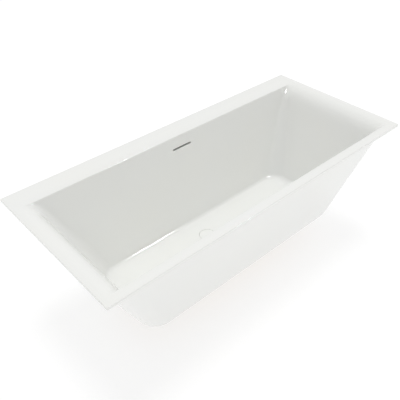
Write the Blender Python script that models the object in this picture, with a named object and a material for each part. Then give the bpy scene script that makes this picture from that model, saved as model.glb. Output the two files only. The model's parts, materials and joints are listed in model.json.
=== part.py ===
"""Rectangular double-ended bath with its waste, overflow, trap and adjustable feet.

Row frame: X along the bath, +Y towards the wide tap deck, +Z up, ground at z = 0.
Depths are measured down from the rim top, which is how a bath is drawn and fitted.
"""

import math

import bmesh
import bpy
from mathutils import Matrix, Vector

# ---------------------------------------------------------------- driving dimensions, metres
LENGTH = 1.700
WIDTH = 0.750
HEIGHT = 0.620              # rim top above the ground
GAP = 0.0003                # clearance between pieces that touch

RIM_EDGE = 0.012            # thickness of the flat rim
RIM_EDGE_ROUND = 0.0015
RIM_CORNER = 0.003
END_LIP = 0.026             # flat deck left at each end
FAR_DECK = 0.107            # wide deck, on the overflow side
NEAR_DECK = 0.040
WELL_DEPTH = 0.450          # rim top to floor at the waste
WELL_CORNER = 0.018         # plan radius of the opening's corners
SIDE_SLOPE = math.tan(math.radians(14.5))
END_SLOPE = 0.42            # run over drop of the end walls
SIDE_WALL = 0.0165          # horizontal thickness of the long walls at the rim
OUTER_SIDE_SLOPE = math.tan(math.radians(12.0))
OUTER_END = 0.598           # half length of the underside, corner to corner
OUTER_END_SLOPE = 0.485     # run over drop of the outer end faces
FLOOR_FALL = 0.003          # the floor drains to the waste by this much
SIDE_FILLET = 0.018         # wall to floor, long sides
END_FILLET = 0.040          # wall to floor, ends
BASE_DEPTH = 0.480          # rim top to the shell's underside
BASE_ROUND = 0.022          # wall to underside
BOARD_INSET = 0.040
BOARD_POCKET = 0.012
OUTER_CORNER_TOP = 0.095
OUTER_CORNER_BASE = 0.088

WASTE_X = -0.040
WASTE_Y = 0.026
WASTE_HOLE = 0.026
RECESS_RADIUS = 0.0412
RECESS_DEPTH = 0.007
COVER_RADIUS = 0.040
COVER_THICK = 0.0018

SLOT_DEPTH = 0.062          # overflow slot, below the rim top
SLOT_LENGTH = 0.113
SLOT_HEIGHT = 0.010

RAIL_X = 0.400
RAIL_Y = (-0.190, 0.130)
RAIL_BRIM = 0.070
RAIL_TROUGH = 0.034
RAIL_GAUGE = 0.002
RAIL_DROP = 0.0347          # underside of the shell to the underside of the trough
FOOT_Y = (-0.110, 0.090)
ROD_RADIUS = 0.005
ROD_HOLE = 0.0056
PAD_RADIUS = 0.025
PAD_HEIGHT = 0.016
PAD_SOCKET = 0.0080         # floor of the socket that the rod stands in, above the ground
NUT_FLATS = 0.017
RAIL_SCREW_ROWS = (-0.165, 0.105)
SCREW_PILOT = 0.0024        # radius of the hole a screw cuts its thread in
SCREW_PASS = 0.0026         # radius of the hole a screw passes through
BOARD_HOLE = 0.052          # radius of the board's cut-out round the waste
TOOL_REACH = 0.010          # how far a cutter runs past what it cuts

END_HALF_STEPS = 3          # ring segments: half an end, a corner, half a side
CORNER_STEPS = 9
SIDE_HALF_STEPS = 5
ROUND = 28                  # segments of a turned piece
SMALL_ROUND = 16

HALF_X = LENGTH / 2
HALF_Y = WIDTH / 2
OPENING_X = HALF_X - END_LIP
OPENING_FAR = HALF_Y - FAR_DECK
OPENING_NEAR = -HALF_Y + NEAR_DECK
RING_POINTS = 4 * (END_HALF_STEPS + CORNER_STEPS + SIDE_HALF_STEPS)


# ---------------------------------------------------------------- shared helpers
def up(depth):
    """World height of a depth below the rim top."""
    return HEIGHT - depth


def make_material(name, colour, roughness, metallic=0.0):
    """One Principled material."""
    made = bpy.data.materials.new(name)
    made.use_nodes = True
    shader = made.node_tree.nodes["Principled BSDF"]
    shader.inputs["Base Color"].default_value = (*colour, 1.0)
    shader.inputs["Roughness"].default_value = roughness
    shader.inputs["Metallic"].default_value = metallic
    return made


def finish(name, work, material, smooth_deg=32.0):
    """Turn a bmesh into a named object with outward faces and its material."""
    bmesh.ops.recalc_face_normals(work, faces=work.faces)
    mesh = bpy.data.meshes.new(name)
    work.to_mesh(mesh)
    work.free()
    mesh.materials.append(material)
    mesh.shade_smooth()
    mesh.set_sharp_from_angle(angle=math.radians(smooth_deg))
    piece = bpy.data.objects.new(name, mesh)
    bpy.context.scene.collection.objects.link(piece)
    return piece


def hide_tool(tool):
    """Mark a Boolean tool, which isn't part of the object."""
    tool.hide_render = True
    tool.display_type = "WIRE"


def combine(piece, tool, operation):
    """Add an exact Boolean with the tool."""
    hide_tool(tool)
    change = piece.modifiers.new(operation.lower(), "BOOLEAN")
    change.operation = operation
    change.solver = "EXACT"
    change.object = tool


def turned(name, profile, material, centre=(0.0, 0.0), steps=ROUND, frame=None):
    """Spin a closed (radius, height) outline about the vertical through centre."""
    work = bmesh.new()
    corners = [work.verts.new((radius, 0.0, height)) for radius, height in profile]
    touches_axis = profile[0][0] == 0.0 and profile[-1][0] == 0.0
    edges = [work.edges.new(pair) for pair in zip(corners, corners[1:])]
    if not touches_axis:
        edges.append(work.edges.new((corners[-1], corners[0])))
    bmesh.ops.spin(work, geom=corners + edges, cent=(0, 0, 0), axis=(0, 0, 1),
                   angle=2 * math.pi, steps=steps, use_merge=True)
    bmesh.ops.remove_doubles(work, verts=work.verts, dist=1e-6)
    move = frame or Matrix.Translation((centre[0], centre[1], 0.0))
    bmesh.ops.transform(work, matrix=move, verts=work.verts)
    return finish(name, work, material)


def rod(name, radius, low, high, material, frame=None, steps=SMALL_ROUND):
    """A plain round bar between two heights of its own frame."""
    work = bmesh.new()
    place = (frame or Matrix()) @ Matrix.Translation((0, 0, (low + high) / 2))
    bmesh.ops.create_cone(work, cap_ends=True, segments=steps, radius1=radius, radius2=radius,
                          depth=high - low, matrix=place)
    return finish(name, work, material)


def block(name, low, high, material, frame=None):
    """A box between two corners."""
    work = bmesh.new()
    size = [b - a for a, b in zip(low, high)]
    middle = [(a + b) / 2 for a, b in zip(low, high)]
    place = Matrix.Translation(middle) @ Matrix.Diagonal((*size, 1.0))
    bmesh.ops.create_cube(work, size=1.0, matrix=place)
    if frame:
        bmesh.ops.transform(work, matrix=frame, verts=work.verts)
    return finish(name, work, material)


def prism(name, outline, low, high, material, frame=None):
    """Extrude a plan outline from one height to another."""
    work = bmesh.new()
    base = work.faces.new([work.verts.new((x, y, low)) for x, y in outline])
    grown = bmesh.ops.extrude_face_region(work, geom=[base])
    raised = [item for item in grown["geom"] if isinstance(item, bmesh.types.BMVert)]
    bmesh.ops.translate(work, vec=(0, 0, high - low), verts=raised)
    if frame:
        bmesh.ops.transform(work, matrix=frame, verts=work.verts)
    return finish(name, work, material)


def stadium(length, height, steps=8):
    """Plan outline of a slot with round ends, centred on its own origin."""
    radius = height / 2
    reach = length / 2 - radius
    turns = [math.pi * step / steps - math.pi / 2 for step in range(steps + 1)]
    right = [(reach + radius * math.cos(turn), radius * math.sin(turn)) for turn in turns]
    left = [(-x, -y) for x, y in right]
    return right + left


def loft(rings, closed):
    """Skin a list of equal rings; join the last to the first, or cap both ends."""
    work = bmesh.new()
    loops = [[work.verts.new(point) for point in ring] for ring in rings]
    pairs = list(zip(loops, loops[1:]))
    if closed:
        pairs.append((loops[-1], loops[0]))
    for lower, upper in pairs:
        for index in range(len(lower)):
            following = (index + 1) % len(lower)
            work.faces.new((lower[index], lower[following], upper[following], upper[index]))
    if not closed:
        work.faces.new(loops[0])
        work.faces.new(loops[-1])
    return work


# ---------------------------------------------------------------- the shell
def plan_ring(end_x, near_y, far_y, radius, side_z, end_z):
    """One ring of the shell: a rounded rectangle whose ends and sides may lie at two heights.

    It starts in the middle of the +X end and runs anticlockwise seen from above.
    """
    middle_y = (near_y + far_y) / 2
    half_y = (far_y - near_y) / 2
    quarter = []
    for step in range(END_HALF_STEPS):
        quarter.append((end_x, (half_y - radius) * step / END_HALF_STEPS, 0.0))
    for step in range(CORNER_STEPS + 1):
        part = step / CORNER_STEPS
        turn = part * math.pi / 2
        share = part * part * (3 - 2 * part)
        x = end_x - radius + radius * math.cos(turn)
        y = half_y - radius + radius * math.sin(turn)
        quarter.append((x, y, share))
    for step in range(1, SIDE_HALF_STEPS):
        quarter.append(((end_x - radius) * (1 - step / SIDE_HALF_STEPS), half_y, 1.0))
    mirrored = [(-x, y, share) for x, y, share in reversed(quarter[1:])]
    top_half = quarter + [(0.0, half_y, 1.0)] + mirrored
    bottom_half = [(-x, -y, share) for x, y, share in top_half]
    points = top_half + bottom_half
    return [(x, middle_y + y, end_z + (side_z - end_z) * share) for x, y, share in points]


def round_ring(radius, height):
    """A circle about the waste with as many points as a plan ring."""
    points = []
    for index in range(RING_POINTS):
        turn = 2 * math.pi * index / RING_POINTS
        points.append((WASTE_X + radius * math.cos(turn), WASTE_Y + radius * math.sin(turn), height))
    return points


def side_inset(depth):
    """How far the long walls have come in from the opening at a depth."""
    return 0.003 + SIDE_SLOPE * (depth - 0.0055)


def end_inset(depth):
    """How far the end walls have come in from the opening, below the headrest roll."""
    return 0.079 + END_SLOPE * (depth - 0.065)


def fillet(inset_at, slope, radius, floor_depth, steps):
    """Points (inset, depth) of the arc that joins a sloping wall to the floor."""
    wall_angle = math.atan(slope)
    turn_total = math.pi / 2 - wall_angle
    tangent = radius * math.tan(turn_total / 2)
    corner = inset_at(floor_depth)
    centre_inset = corner + tangent
    centre_depth = floor_depth - radius
    points = []
    for step in range(steps + 1):
        turn = turn_total * (1 - step / steps)
        points.append((centre_inset - radius * math.sin(turn), centre_depth + radius * math.cos(turn)))
    return points


def well_rings():
    """The bathing surface, from the rim opening to the waste hole."""
    roll_side = [(0.0, 0.0), (0.0010, 0.0006), (0.0022, 0.0025), (0.0030, 0.0055)]
    roll_end = [(0.0, 0.0), (0.012, 0.0016), (0.026, 0.0060), (0.040, 0.0135)]
    for depth in (0.018, 0.034, 0.052):
        roll_side.append((side_inset(depth), depth))
    roll_end += [(0.053, 0.0240), (0.065, 0.0390), (0.0745, 0.0560)]
    corner = [WELL_CORNER, 0.020, 0.023, 0.027, 0.031, 0.034, 0.037]
    for depth in (0.075, 0.140, 0.220, 0.300):
        roll_side.append((side_inset(depth), depth))
        roll_end.append((end_inset(depth), depth))
        corner.append(0.036 + 0.140 * (depth - 0.050))
    foot_depth = WELL_DEPTH - FLOOR_FALL
    steps = 6
    roll_side += fillet(side_inset, SIDE_SLOPE, SIDE_FILLET, foot_depth, steps)
    roll_end += fillet(end_inset, END_SLOPE, END_FILLET, foot_depth, steps)
    corner += [0.082 - 0.002 * step for step in range(steps + 1)]
    rings = []
    for (side_in, side_depth), (end_in, end_depth), radius in zip(roll_side, roll_end, corner):
        rings.append(plan_ring(OPENING_X - end_in, OPENING_NEAR + side_in, OPENING_FAR - side_in,
                               radius, up(side_depth), up(end_depth)))
    rings.append(round_ring(RECESS_RADIUS + 0.004, up(WELL_DEPTH)))
    rings.append(round_ring(RECESS_RADIUS, up(WELL_DEPTH)))
    rings.append(round_ring(RECESS_RADIUS, up(WELL_DEPTH + RECESS_DEPTH)))
    rings.append(round_ring(WASTE_HOLE, up(WELL_DEPTH + RECESS_DEPTH)))
    return rings


def outer_end_x(depth):
    """Outer face of the end walls."""
    return OUTER_END + OUTER_END_SLOPE * (BASE_DEPTH - depth)


def outer_sides(depth):
    """Outer faces of the long walls, near and far."""
    inset = side_inset(RIM_EDGE) - SIDE_WALL + OUTER_SIDE_SLOPE * (depth - RIM_EDGE)
    return OPENING_NEAR + inset, OPENING_FAR - inset


def outward_arc(slope, radius, steps):
    """Points (inset, rise) of the arc from the underside up to an outer wall that leans out."""
    lean = math.atan(slope)
    centre = radius * (1 - math.sin(lean)) / math.cos(lean)
    turns = [(math.pi / 2 - lean) * step / steps for step in range(steps + 1)]
    return [(centre - radius * math.sin(turn), radius - radius * math.cos(turn)) for turn in turns]


def outer_rings():
    """The underside and the outer walls, from the waste hole up to the rim's underside."""
    near_y, far_y = outer_sides(BASE_DEPTH)
    end_x = outer_end_x(BASE_DEPTH)
    roof = up(BASE_DEPTH - BOARD_POCKET)
    base = up(BASE_DEPTH)
    pocket_radius = OUTER_CORNER_BASE - BOARD_INSET
    rings = [round_ring(WASTE_HOLE, roof), round_ring(WASTE_HOLE + 0.020, roof)]
    for height in (roof, base):
        rings.append(plan_ring(end_x - BOARD_INSET, near_y + BOARD_INSET, far_y - BOARD_INSET,
                               pocket_radius, height, height))
    side_arc = outward_arc(OUTER_SIDE_SLOPE, BASE_ROUND, 4)
    end_arc = outward_arc(OUTER_END_SLOPE, BASE_ROUND, 4)
    for (side_in, side_rise), (end_in, end_rise) in zip(side_arc, end_arc):
        rings.append(plan_ring(end_x - end_in, near_y + side_in, far_y - side_in,
                               OUTER_CORNER_BASE - side_in, base + side_rise, base + end_rise))
    drop = BASE_DEPTH - RIM_EDGE
    for depth in (0.400, 0.300, 0.200, 0.100, 0.060, 0.035, RIM_EDGE):
        share = (BASE_DEPTH - depth) / drop
        radius = OUTER_CORNER_BASE + (OUTER_CORNER_TOP - OUTER_CORNER_BASE) * share
        near_y, far_y = outer_sides(depth)
        rings.append(plan_ring(outer_end_x(depth), near_y, far_y, radius, up(depth), up(depth)))
    return rings


def rim_rings():
    """The rim's underside edge, outer face and rounded top edge."""
    rings = []
    for inset, depth in ((0.0, RIM_EDGE), (0.0, RIM_EDGE_ROUND), (0.0004, 0.0004), (RIM_EDGE_ROUND, 0.0)):
        rings.append(plan_ring(HALF_X - inset, -HALF_Y + inset, HALF_Y - inset,
                               RIM_CORNER, up(depth), up(depth)))
    return rings


def wall_frame():
    """Frame on the far wall's outer face at the slot: X along, Y outward, Z up the wall."""
    far_y = outer_sides(SLOT_DEPTH)[1]
    tilt = Matrix.Rotation(-math.atan(OUTER_SIDE_SLOPE), 4, "X")
    return Matrix.Translation((0.0, far_y, up(SLOT_DEPTH))) @ tilt


def across(frame):
    """The same frame turned so that its Z points outward through the wall."""
    return frame @ Matrix.Rotation(-math.pi / 2, 4, "X")


def build_shell(white, tool_grey):
    """The one-piece bath with its overflow slot and the blind holes for the overflow screws."""
    shell = finish("tub_shell", loft(well_rings() + outer_rings() + rim_rings(), True), white)
    frame = across(wall_frame())
    slot = prism("slot_tool", stadium(SLOT_LENGTH, SLOT_HEIGHT), -0.030, 0.010, tool_grey, frame)
    combine(shell, slot, "DIFFERENCE")
    for side in (-1, 1):
        place = frame @ Matrix.Translation((side * HEAD_SCREW_X, 0, 0))
        hole = rod(f"ear_hole_tool_{side}", SCREW_PILOT, -0.009, 0.005, tool_grey, place, 12)
        combine(shell, hole, "DIFFERENCE")
    return shell


# ---------------------------------------------------------------- base board, rails and feet
def board_ring(height):
    """Outline of the base board, a gap inside the shell's pocket."""
    near_y, far_y = outer_sides(BASE_DEPTH)
    inset = BOARD_INSET + GAP
    return plan_ring(outer_end_x(BASE_DEPTH) - inset, near_y + inset, far_y - inset,
                     OUTER_CORNER_BASE - BOARD_INSET - GAP, height, height)


def screw_places():
    """Where the rail screws go: four to a rail, two in each brim."""
    offset = (RAIL_BRIM + RAIL_TROUGH) / 4
    return [(side * RAIL_X + sign * offset, y)
            for side in (-1, 1) for sign in (-1, 1) for y in RAIL_SCREW_ROWS]


def build_board(wood, tool_grey):
    """Plywood base let into the underside, cut out round the waste."""
    top = up(BASE_DEPTH - BOARD_POCKET) - GAP
    board = finish("base_board", loft([board_ring(top), board_ring(up(BASE_DEPTH))], False), wood)
    place = Matrix.Translation((WASTE_X, WASTE_Y, 0))
    under = up(BASE_DEPTH)
    cut_out = rod("board_hole_tool", BOARD_HOLE, under - TOOL_REACH, top + TOOL_REACH, tool_grey,
                  place, ROUND)
    combine(board, cut_out, "DIFFERENCE")
    for number, (x, y) in enumerate(screw_places(), 1):
        drill = rod(f"pilot_tool_{number}", SCREW_PILOT, under - TOOL_REACH, under + 0.0085,
                    tool_grey, Matrix.Translation((x, y, 0)), 12)
        combine(board, drill, "DIFFERENCE")


def build_rail(name, x, steel, tool_grey):
    """A pressed hat-section rail: brims screw to the board, the trough carries two feet."""
    brim = RAIL_BRIM / 2
    outer = RAIL_TROUGH / 2
    inner = outer - RAIL_GAUGE
    top = -GAP
    under = top - RAIL_GAUGE
    web = -RAIL_DROP
    half = [(brim, top), (brim, under), (outer, under), (outer, web)]
    inside = [(inner, web + RAIL_GAUGE), (inner, top)]
    outline = half + [(-a, b) for a, b in half[::-1] + inside[::-1]] + inside
    base = up(BASE_DEPTH)
    stand = Matrix.Translation((x, 0, base)) @ Matrix.Rotation(math.pi / 2, 4, "X")
    rail = prism(name, outline, -RAIL_Y[1], -RAIL_Y[0], steel, stand)
    for number, (screw_x, y) in enumerate(screw_places(), 1):
        if abs(screw_x - x) < brim:
            drill = rod(f"{name}_screw_tool_{number}", SCREW_PASS, base - TOOL_REACH, base + TOOL_REACH,
                        tool_grey, Matrix.Translation((screw_x, y, 0)), 12)
            combine(rail, drill, "DIFFERENCE")
    for number, y in enumerate(FOOT_Y, 1):
        drill = rod(f"{name}_rod_tool_{number}", ROD_HOLE, base - RAIL_DROP - TOOL_REACH,
                    base - RAIL_DROP + TOOL_REACH, tool_grey, Matrix.Translation((x, y, 0)), SMALL_ROUND)
        combine(rail, drill, "DIFFERENCE")


def build_rail_screw(name, place, steel):
    """Pan-head screw from below, through the brim into the board."""
    under = up(BASE_DEPTH) - 2 * GAP - RAIL_GAUGE
    head = [(0.0, under - 0.0030), (0.0030, under - 0.0028), (0.0046, under - 0.0016), (0.0048, under)]
    shank = [(0.0020, under), (0.0020, under + 0.0085), (0.0, under + 0.0100)]
    turned(name, head + shank, steel, place, 12)


def hex_nut(name, place, low, high, flats, bore, steel):
    """A hexagon nut as four matched rings."""
    corners = 12
    rings = []
    for outer, height in ((True, low), (True, high), (False, high), (False, low)):
        ring = []
        for index in range(corners):
            turn = 2 * math.pi * index / corners
            local = (turn + math.pi / 6) % (math.pi / 3) - math.pi / 6
            radius = flats / 2 / math.cos(local) if outer else bore
            ring.append((place[0] + radius * math.cos(turn), place[1] + radius * math.sin(turn), height))
        rings.append(ring)
    finish(name, loft(rings, True), steel, 20.0)


def build_foot(label, place, steel, zinc, rubber):
    """One adjustable foot: captive nut, threaded rod, lock nut and pad."""
    web_under = up(BASE_DEPTH) - RAIL_DROP
    web_top = web_under + RAIL_GAUGE
    bore = ROD_RADIUS + 0.0002
    hex_nut(f"rail_nut_{label}", place, web_top + GAP, web_top + 0.008, NUT_FLATS, bore, zinc)
    hex_nut(f"lock_nut_{label}", place, web_under - 0.006, web_under - GAP, NUT_FLATS, bore, zinc)
    rod_top = up(BASE_DEPTH) - 0.0030
    stem = [(0.0, PAD_SOCKET + GAP), (0.0042, PAD_SOCKET + GAP), (ROD_RADIUS, PAD_SOCKET + 0.0012)]
    stem += [(ROD_RADIUS, rod_top - 0.001), (0.0040, rod_top), (0.0, rod_top)]
    turned(f"foot_rod_{label}", stem, steel, place, SMALL_ROUND)
    pad = [(0.0, 0.0), (PAD_RADIUS - 0.0015, 0.0), (PAD_RADIUS, 0.0015), (PAD_RADIUS, 0.0070)]
    pad += [(0.0140, 0.0100), (0.0110, PAD_HEIGHT), (ROD_RADIUS + GAP, PAD_HEIGHT)]
    pad += [(ROD_RADIUS + GAP, PAD_SOCKET), (0.0, PAD_SOCKET)]
    turned(f"foot_pad_{label}", pad, rubber, place, 20)


# ---------------------------------------------------------------- waste, in depths below the rim
WASTE = (WASTE_X, WASTE_Y)
RECESS_FLOOR = WELL_DEPTH + RECESS_DEPTH
FLANGE_TOP = RECESS_FLOOR - 0.0036
FLANGE_UNDER = FLANGE_TOP + 0.0020
HUB_TOP = 0.4820
HUB_UNDER = 0.4860
BODY_GASKET_TOP = BASE_DEPTH - BOARD_POCKET + GAP
BODY_TOP = BODY_GASKET_TOP + 0.0012 + GAP
BODY_FLOOR = 0.5300
BAR_TOP = 0.5000
BAR_UNDER = 0.5050
SPIGOT_DEPTH = 0.5110
SPIGOT_END = 0.062          # reach of the overflow spigot from the waste axis
HOSE_BORE = 0.0131
HOSE_RADIUS = 0.0148
SPIGOT_RADIUS = 0.0125
SPIGOT_BORE = 0.0100
TRAP_RIM = 0.5362
TRAP_BASE = HEIGHT - 0.008
TRAP_RADIUS = 0.040
OUTLET_DEPTH = 0.5680
OUTLET_RADIUS = 0.020
OUTLET_BORE = 0.0178
TRAP_SPIGOT_END = 0.072
PIPE_LENGTH = 0.180


def down(points):
    """Turn (radius, depth) points into (radius, height)."""
    return [(radius, up(depth)) for radius, depth in points]


def build_waste_flange(chrome, tool_grey):
    """Flange and tube of the waste, with a cross that the clamp screw pulls on."""
    outline = [(0.0225, FLANGE_TOP), (0.0370, FLANGE_TOP), (0.0370, FLANGE_UNDER)]
    outline += [(0.0254, FLANGE_UNDER), (0.0254, 0.4920), (0.0225, 0.4920)]
    flange = turned("waste_flange", down(outline), chrome, WASTE)
    arm = 0.0240
    low, high = up(HUB_UNDER), up(HUB_TOP)
    place = Matrix.Translation((*WASTE, 0))
    cross = block("flange_cross_tool", (-arm, -0.0025, low), (arm, 0.0025, high), tool_grey, place)
    combine(flange, cross, "UNION")
    cross = block("flange_cross_tool_2", (-0.0025, -arm, low), (0.0025, arm, high), tool_grey, place)
    combine(flange, cross, "UNION")
    hub = rod("flange_hub_tool", 0.0080, low - 0.0005, high + 0.0005, tool_grey, place)
    combine(flange, hub, "UNION")
    bore = rod("flange_bore_tool", 0.0034, low - 0.01, high + 0.01, tool_grey, place, 16)
    combine(flange, bore, "DIFFERENCE")


def build_ring(name, inner, outer, top, under, material, steps=ROUND):
    """A flat ring about the waste axis, used for gaskets."""
    outline = [(inner, top), (outer, top), (outer, under), (inner, under)]
    turned(name, down(outline), material, WASTE, steps)


def build_waste_body(plastic, tool_grey):
    """Cup under the floor with the overflow inlet, a ledge for the clamp bar and the dip tube."""
    outline = [(0.0270, BODY_TOP), (0.0400, BODY_TOP), (0.0400, BODY_TOP + 0.003), (0.0320, BODY_TOP + 0.003)]
    outline += [(0.0320, BODY_FLOOR), (0.0395, BODY_FLOOR), (0.0395, BODY_FLOOR + 0.004)]
    outline += [(0.0205, BODY_FLOOR + 0.004), (0.0205, 0.6020), (0.0180, 0.6020), (0.0180, BODY_FLOOR)]
    outline += [(0.0260, BODY_FLOOR - 0.004), (0.0260, BAR_UNDER + GAP), (0.0290, BAR_UNDER + GAP)]
    outline += [(0.0290, BODY_TOP + 0.003), (0.0270, BODY_TOP + 0.003)]
    body = turned("waste_body", down(outline), plastic, WASTE)
    place = Matrix.Translation((WASTE_X, WASTE_Y, up(SPIGOT_DEPTH))) @ Matrix.Rotation(-math.pi / 2, 4, "X")
    spigot = rod("body_spigot_tool", SPIGOT_RADIUS, 0.0275, SPIGOT_END, tool_grey, place, 24)
    combine(body, spigot, "UNION")
    bore = rod("body_spigot_bore_tool", SPIGOT_BORE, 0.0200, SPIGOT_END + 0.01, tool_grey, place, 24)
    combine(body, bore, "DIFFERENCE")


def build_clamp(brass, steel, tool_grey):
    """Clamp bar inside the body and the screw that draws flange and body together."""
    place = Matrix.Translation((*WASTE, 0))
    bar = prism("clamp_bar", stadium(0.0570, 0.0120), up(BAR_UNDER), up(BAR_TOP), brass, place)
    bore = rod("clamp_bore_tool", 0.0034, up(BAR_UNDER) - 0.01, up(BAR_TOP) + 0.01, tool_grey, place, 16)
    combine(bar, bore, "DIFFERENCE")
    seat = HUB_TOP - 0.0005 - GAP
    outline = [(0.0, seat - 0.0030), (0.0050, seat - 0.0030), (0.0055, seat - 0.0025), (0.0055, seat)]
    outline += [(0.0030, seat), (0.0030, BAR_UNDER + 0.0030), (0.0, BAR_UNDER + 0.0040)]
    turned("clamp_screw", down(outline), steel, WASTE, SMALL_ROUND)


CARTRIDGE_TOP = 0.4605
CARTRIDGE_BASE = HUB_TOP - 0.0005 - GAP - 0.0030 - GAP
CARTRIDGE_FLOOR = CARTRIDGE_BASE - 0.0020
STEM_END = 0.4705
SPRING_WIRE = 0.0004
SPRING_COIL = 0.0036
SPRING_TURNS = 3


def build_click_unit(chrome, steel):
    """Push-open cartridge on the clamp screw, with its spring."""
    outline = [(0.0, CARTRIDGE_BASE), (0.0080, CARTRIDGE_BASE), (0.0085, CARTRIDGE_BASE - 0.0005)]
    outline += [(0.0085, CARTRIDGE_TOP + 0.0005), (0.0080, CARTRIDGE_TOP), (0.0051, CARTRIDGE_TOP)]
    outline += [(0.0051, CARTRIDGE_FLOOR), (0.0, CARTRIDGE_FLOOR)]
    turned("click_cartridge", down(outline), chrome, WASTE, 20)
    low = up(CARTRIDGE_FLOOR) + GAP + SPRING_WIRE
    high = up(STEM_END) - GAP - SPRING_WIRE
    steps = 12 * SPRING_TURNS
    rings = []
    for step in range(steps + 1):
        turn = 2 * math.pi * SPRING_TURNS * step / steps
        height = low + (high - low) * step / steps
        ring = []
        for corner in range(5):
            around = 2 * math.pi * corner / 5
            reach = SPRING_COIL + SPRING_WIRE * math.cos(around)
            ring.append((WASTE_X + reach * math.cos(turn), WASTE_Y + reach * math.sin(turn),
                         height + SPRING_WIRE * math.sin(around)))
        rings.append(ring)
    finish("click_spring", loft(rings, False), steel)


def build_cover(white, chrome, rubber):
    """The round lid flush with the floor, its stem and its seal."""
    top = WELL_DEPTH
    under = top + COVER_THICK
    outline = [(0.0, top), (COVER_RADIUS - 0.0010, top), (COVER_RADIUS, top + 0.0007)]
    outline += [(COVER_RADIUS, under - 0.0002), (COVER_RADIUS - 0.0004, under), (0.0, under)]
    turned("waste_cover", down(outline), white, WASTE, 40)
    start = under + GAP
    outline = [(0.0, start), (0.0100, start), (0.0100, start + 0.0012), (0.0047, start + 0.0020)]
    outline += [(0.0047, STEM_END - 0.0008), (0.0040, STEM_END), (0.0, STEM_END)]
    turned("cover_stem", down(outline), chrome, WASTE, 24)
    build_ring("cover_seal", 0.0245, 0.0300, start, FLANGE_TOP - GAP, rubber)


# ---------------------------------------------------------------- trap and outlet
def build_trap(plastic, dark, rubber, tool_grey):
    """Cup trap hung under the waste by a union nut, with a level outlet along +X."""
    build_ring("trap_seal", 0.0330, 0.0390, BODY_FLOOR + 0.004 + GAP, TRAP_RIM - GAP, rubber)
    outline = [(0.0, TRAP_BASE), (TRAP_RADIUS - 0.006, TRAP_BASE), (TRAP_RADIUS, TRAP_BASE - 0.006),
               (TRAP_RADIUS, TRAP_RIM), (0.0370, TRAP_RIM), (0.0370, TRAP_BASE - 0.0075),
               (0.0330, TRAP_BASE - 0.003), (0.0, TRAP_BASE - 0.003)]
    trap = turned("trap_cup", down(outline), plastic, WASTE)
    place = Matrix.Translation((WASTE_X, WASTE_Y, up(OUTLET_DEPTH))) @ Matrix.Rotation(math.pi / 2, 4, "Y")
    spigot = rod("trap_spigot_tool", OUTLET_RADIUS, 0.0350, TRAP_SPIGOT_END, tool_grey, place, 24)
    combine(trap, spigot, "UNION")
    bore = rod("trap_bore_tool", OUTLET_BORE, 0.0280, TRAP_SPIGOT_END + 0.01, tool_grey, place, 24)
    combine(trap, bore, "DIFFERENCE")
    lip = BODY_FLOOR - GAP
    outline = [(0.0325, lip - 0.0030), (0.0450, lip - 0.0030), (0.0460, lip - 0.0020), (0.0460, 0.5460)]
    outline += [(TRAP_RADIUS + GAP, 0.5460), (TRAP_RADIUS + GAP, lip), (0.0325, lip)]
    turned("trap_nut", down(outline), dark, WASTE)


def build_outlet(plastic, dark):
    """Discharge pipe and the nut that joins it to the trap."""
    turn = Matrix.Rotation(math.pi / 2, 4, "Y")
    place = Matrix.Translation((WASTE_X, WASTE_Y, up(OUTLET_DEPTH))) @ turn
    start = TRAP_SPIGOT_END + GAP
    pipe = [(OUTLET_BORE, start), (OUTLET_RADIUS, start), (OUTLET_RADIUS, start + PIPE_LENGTH),
            (OUTLET_BORE, start + PIPE_LENGTH)]
    turned("outlet_pipe", pipe, plastic, steps=24, frame=place)
    sleeve = OUTLET_RADIUS + GAP
    nut = [(sleeve, start - 0.0140), (0.0250, start - 0.0140), (0.0260, start - 0.0120)]
    nut += [(0.0260, start + 0.0120), (0.0250, start + 0.0140), (sleeve, start + 0.0140)]
    turned("outlet_nut", nut, dark, steps=24, frame=place)


# ---------------------------------------------------------------- overflow
HEAD_SCREW_X = 0.0720
HEAD_LENGTH = 0.130
HEAD_HEIGHT = 0.030
GASKET_THICK = 0.0015
HEAD_BASE = 2 * GAP + GASKET_THICK
HEAD_DEPTH = 0.028
HEAD_SKIN = 0.003
EAR_THICK = 0.0035
SPIGOT_OUT = 0.0168         # overflow spigot's distance from the wall
SPIGOT_LOW = -0.042


def build_overflow_head(dark, tool_grey):
    """Box behind the slot that gathers the water and sends it down its spigot."""
    frame = wall_frame()
    half = HEAD_LENGTH / 2
    rise = HEAD_HEIGHT / 2
    far = HEAD_BASE + HEAD_DEPTH
    head = block("overflow_head", (-half, HEAD_BASE, -rise), (half, far, rise), dark, frame)
    ear = HEAD_SCREW_X + 0.008
    ears = block("head_ears_tool", (-ear, HEAD_BASE + 0.0002, -0.007), (ear, HEAD_BASE + EAR_THICK, 0.007),
                 tool_grey, frame)
    combine(head, ears, "UNION")
    pipe_place = frame @ Matrix.Translation((0, SPIGOT_OUT, 0))
    spigot = rod("head_spigot_tool", SPIGOT_RADIUS, SPIGOT_LOW, -rise + 0.002, tool_grey, pipe_place, 24)
    combine(head, spigot, "UNION")
    hollow = block("head_hollow_tool", (-half + HEAD_SKIN, HEAD_BASE - 0.01, -rise + HEAD_SKIN + 0.002),
                   (half - HEAD_SKIN, far - HEAD_SKIN, rise - HEAD_SKIN - 0.002), tool_grey, frame)
    combine(head, hollow, "DIFFERENCE")
    bore = rod("head_bore_tool", SPIGOT_BORE, SPIGOT_LOW - 0.01, -0.002, tool_grey, pipe_place, 24)
    combine(head, bore, "DIFFERENCE")
    for side in (-1, 1):
        place = across(frame) @ Matrix.Translation((side * HEAD_SCREW_X, 0, 0))
        hole = rod(f"ear_tool_{side}", SCREW_PASS, HEAD_BASE - TOOL_REACH, HEAD_BASE + TOOL_REACH, tool_grey,
                   place, 12)
        combine(head, hole, "DIFFERENCE")


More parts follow.
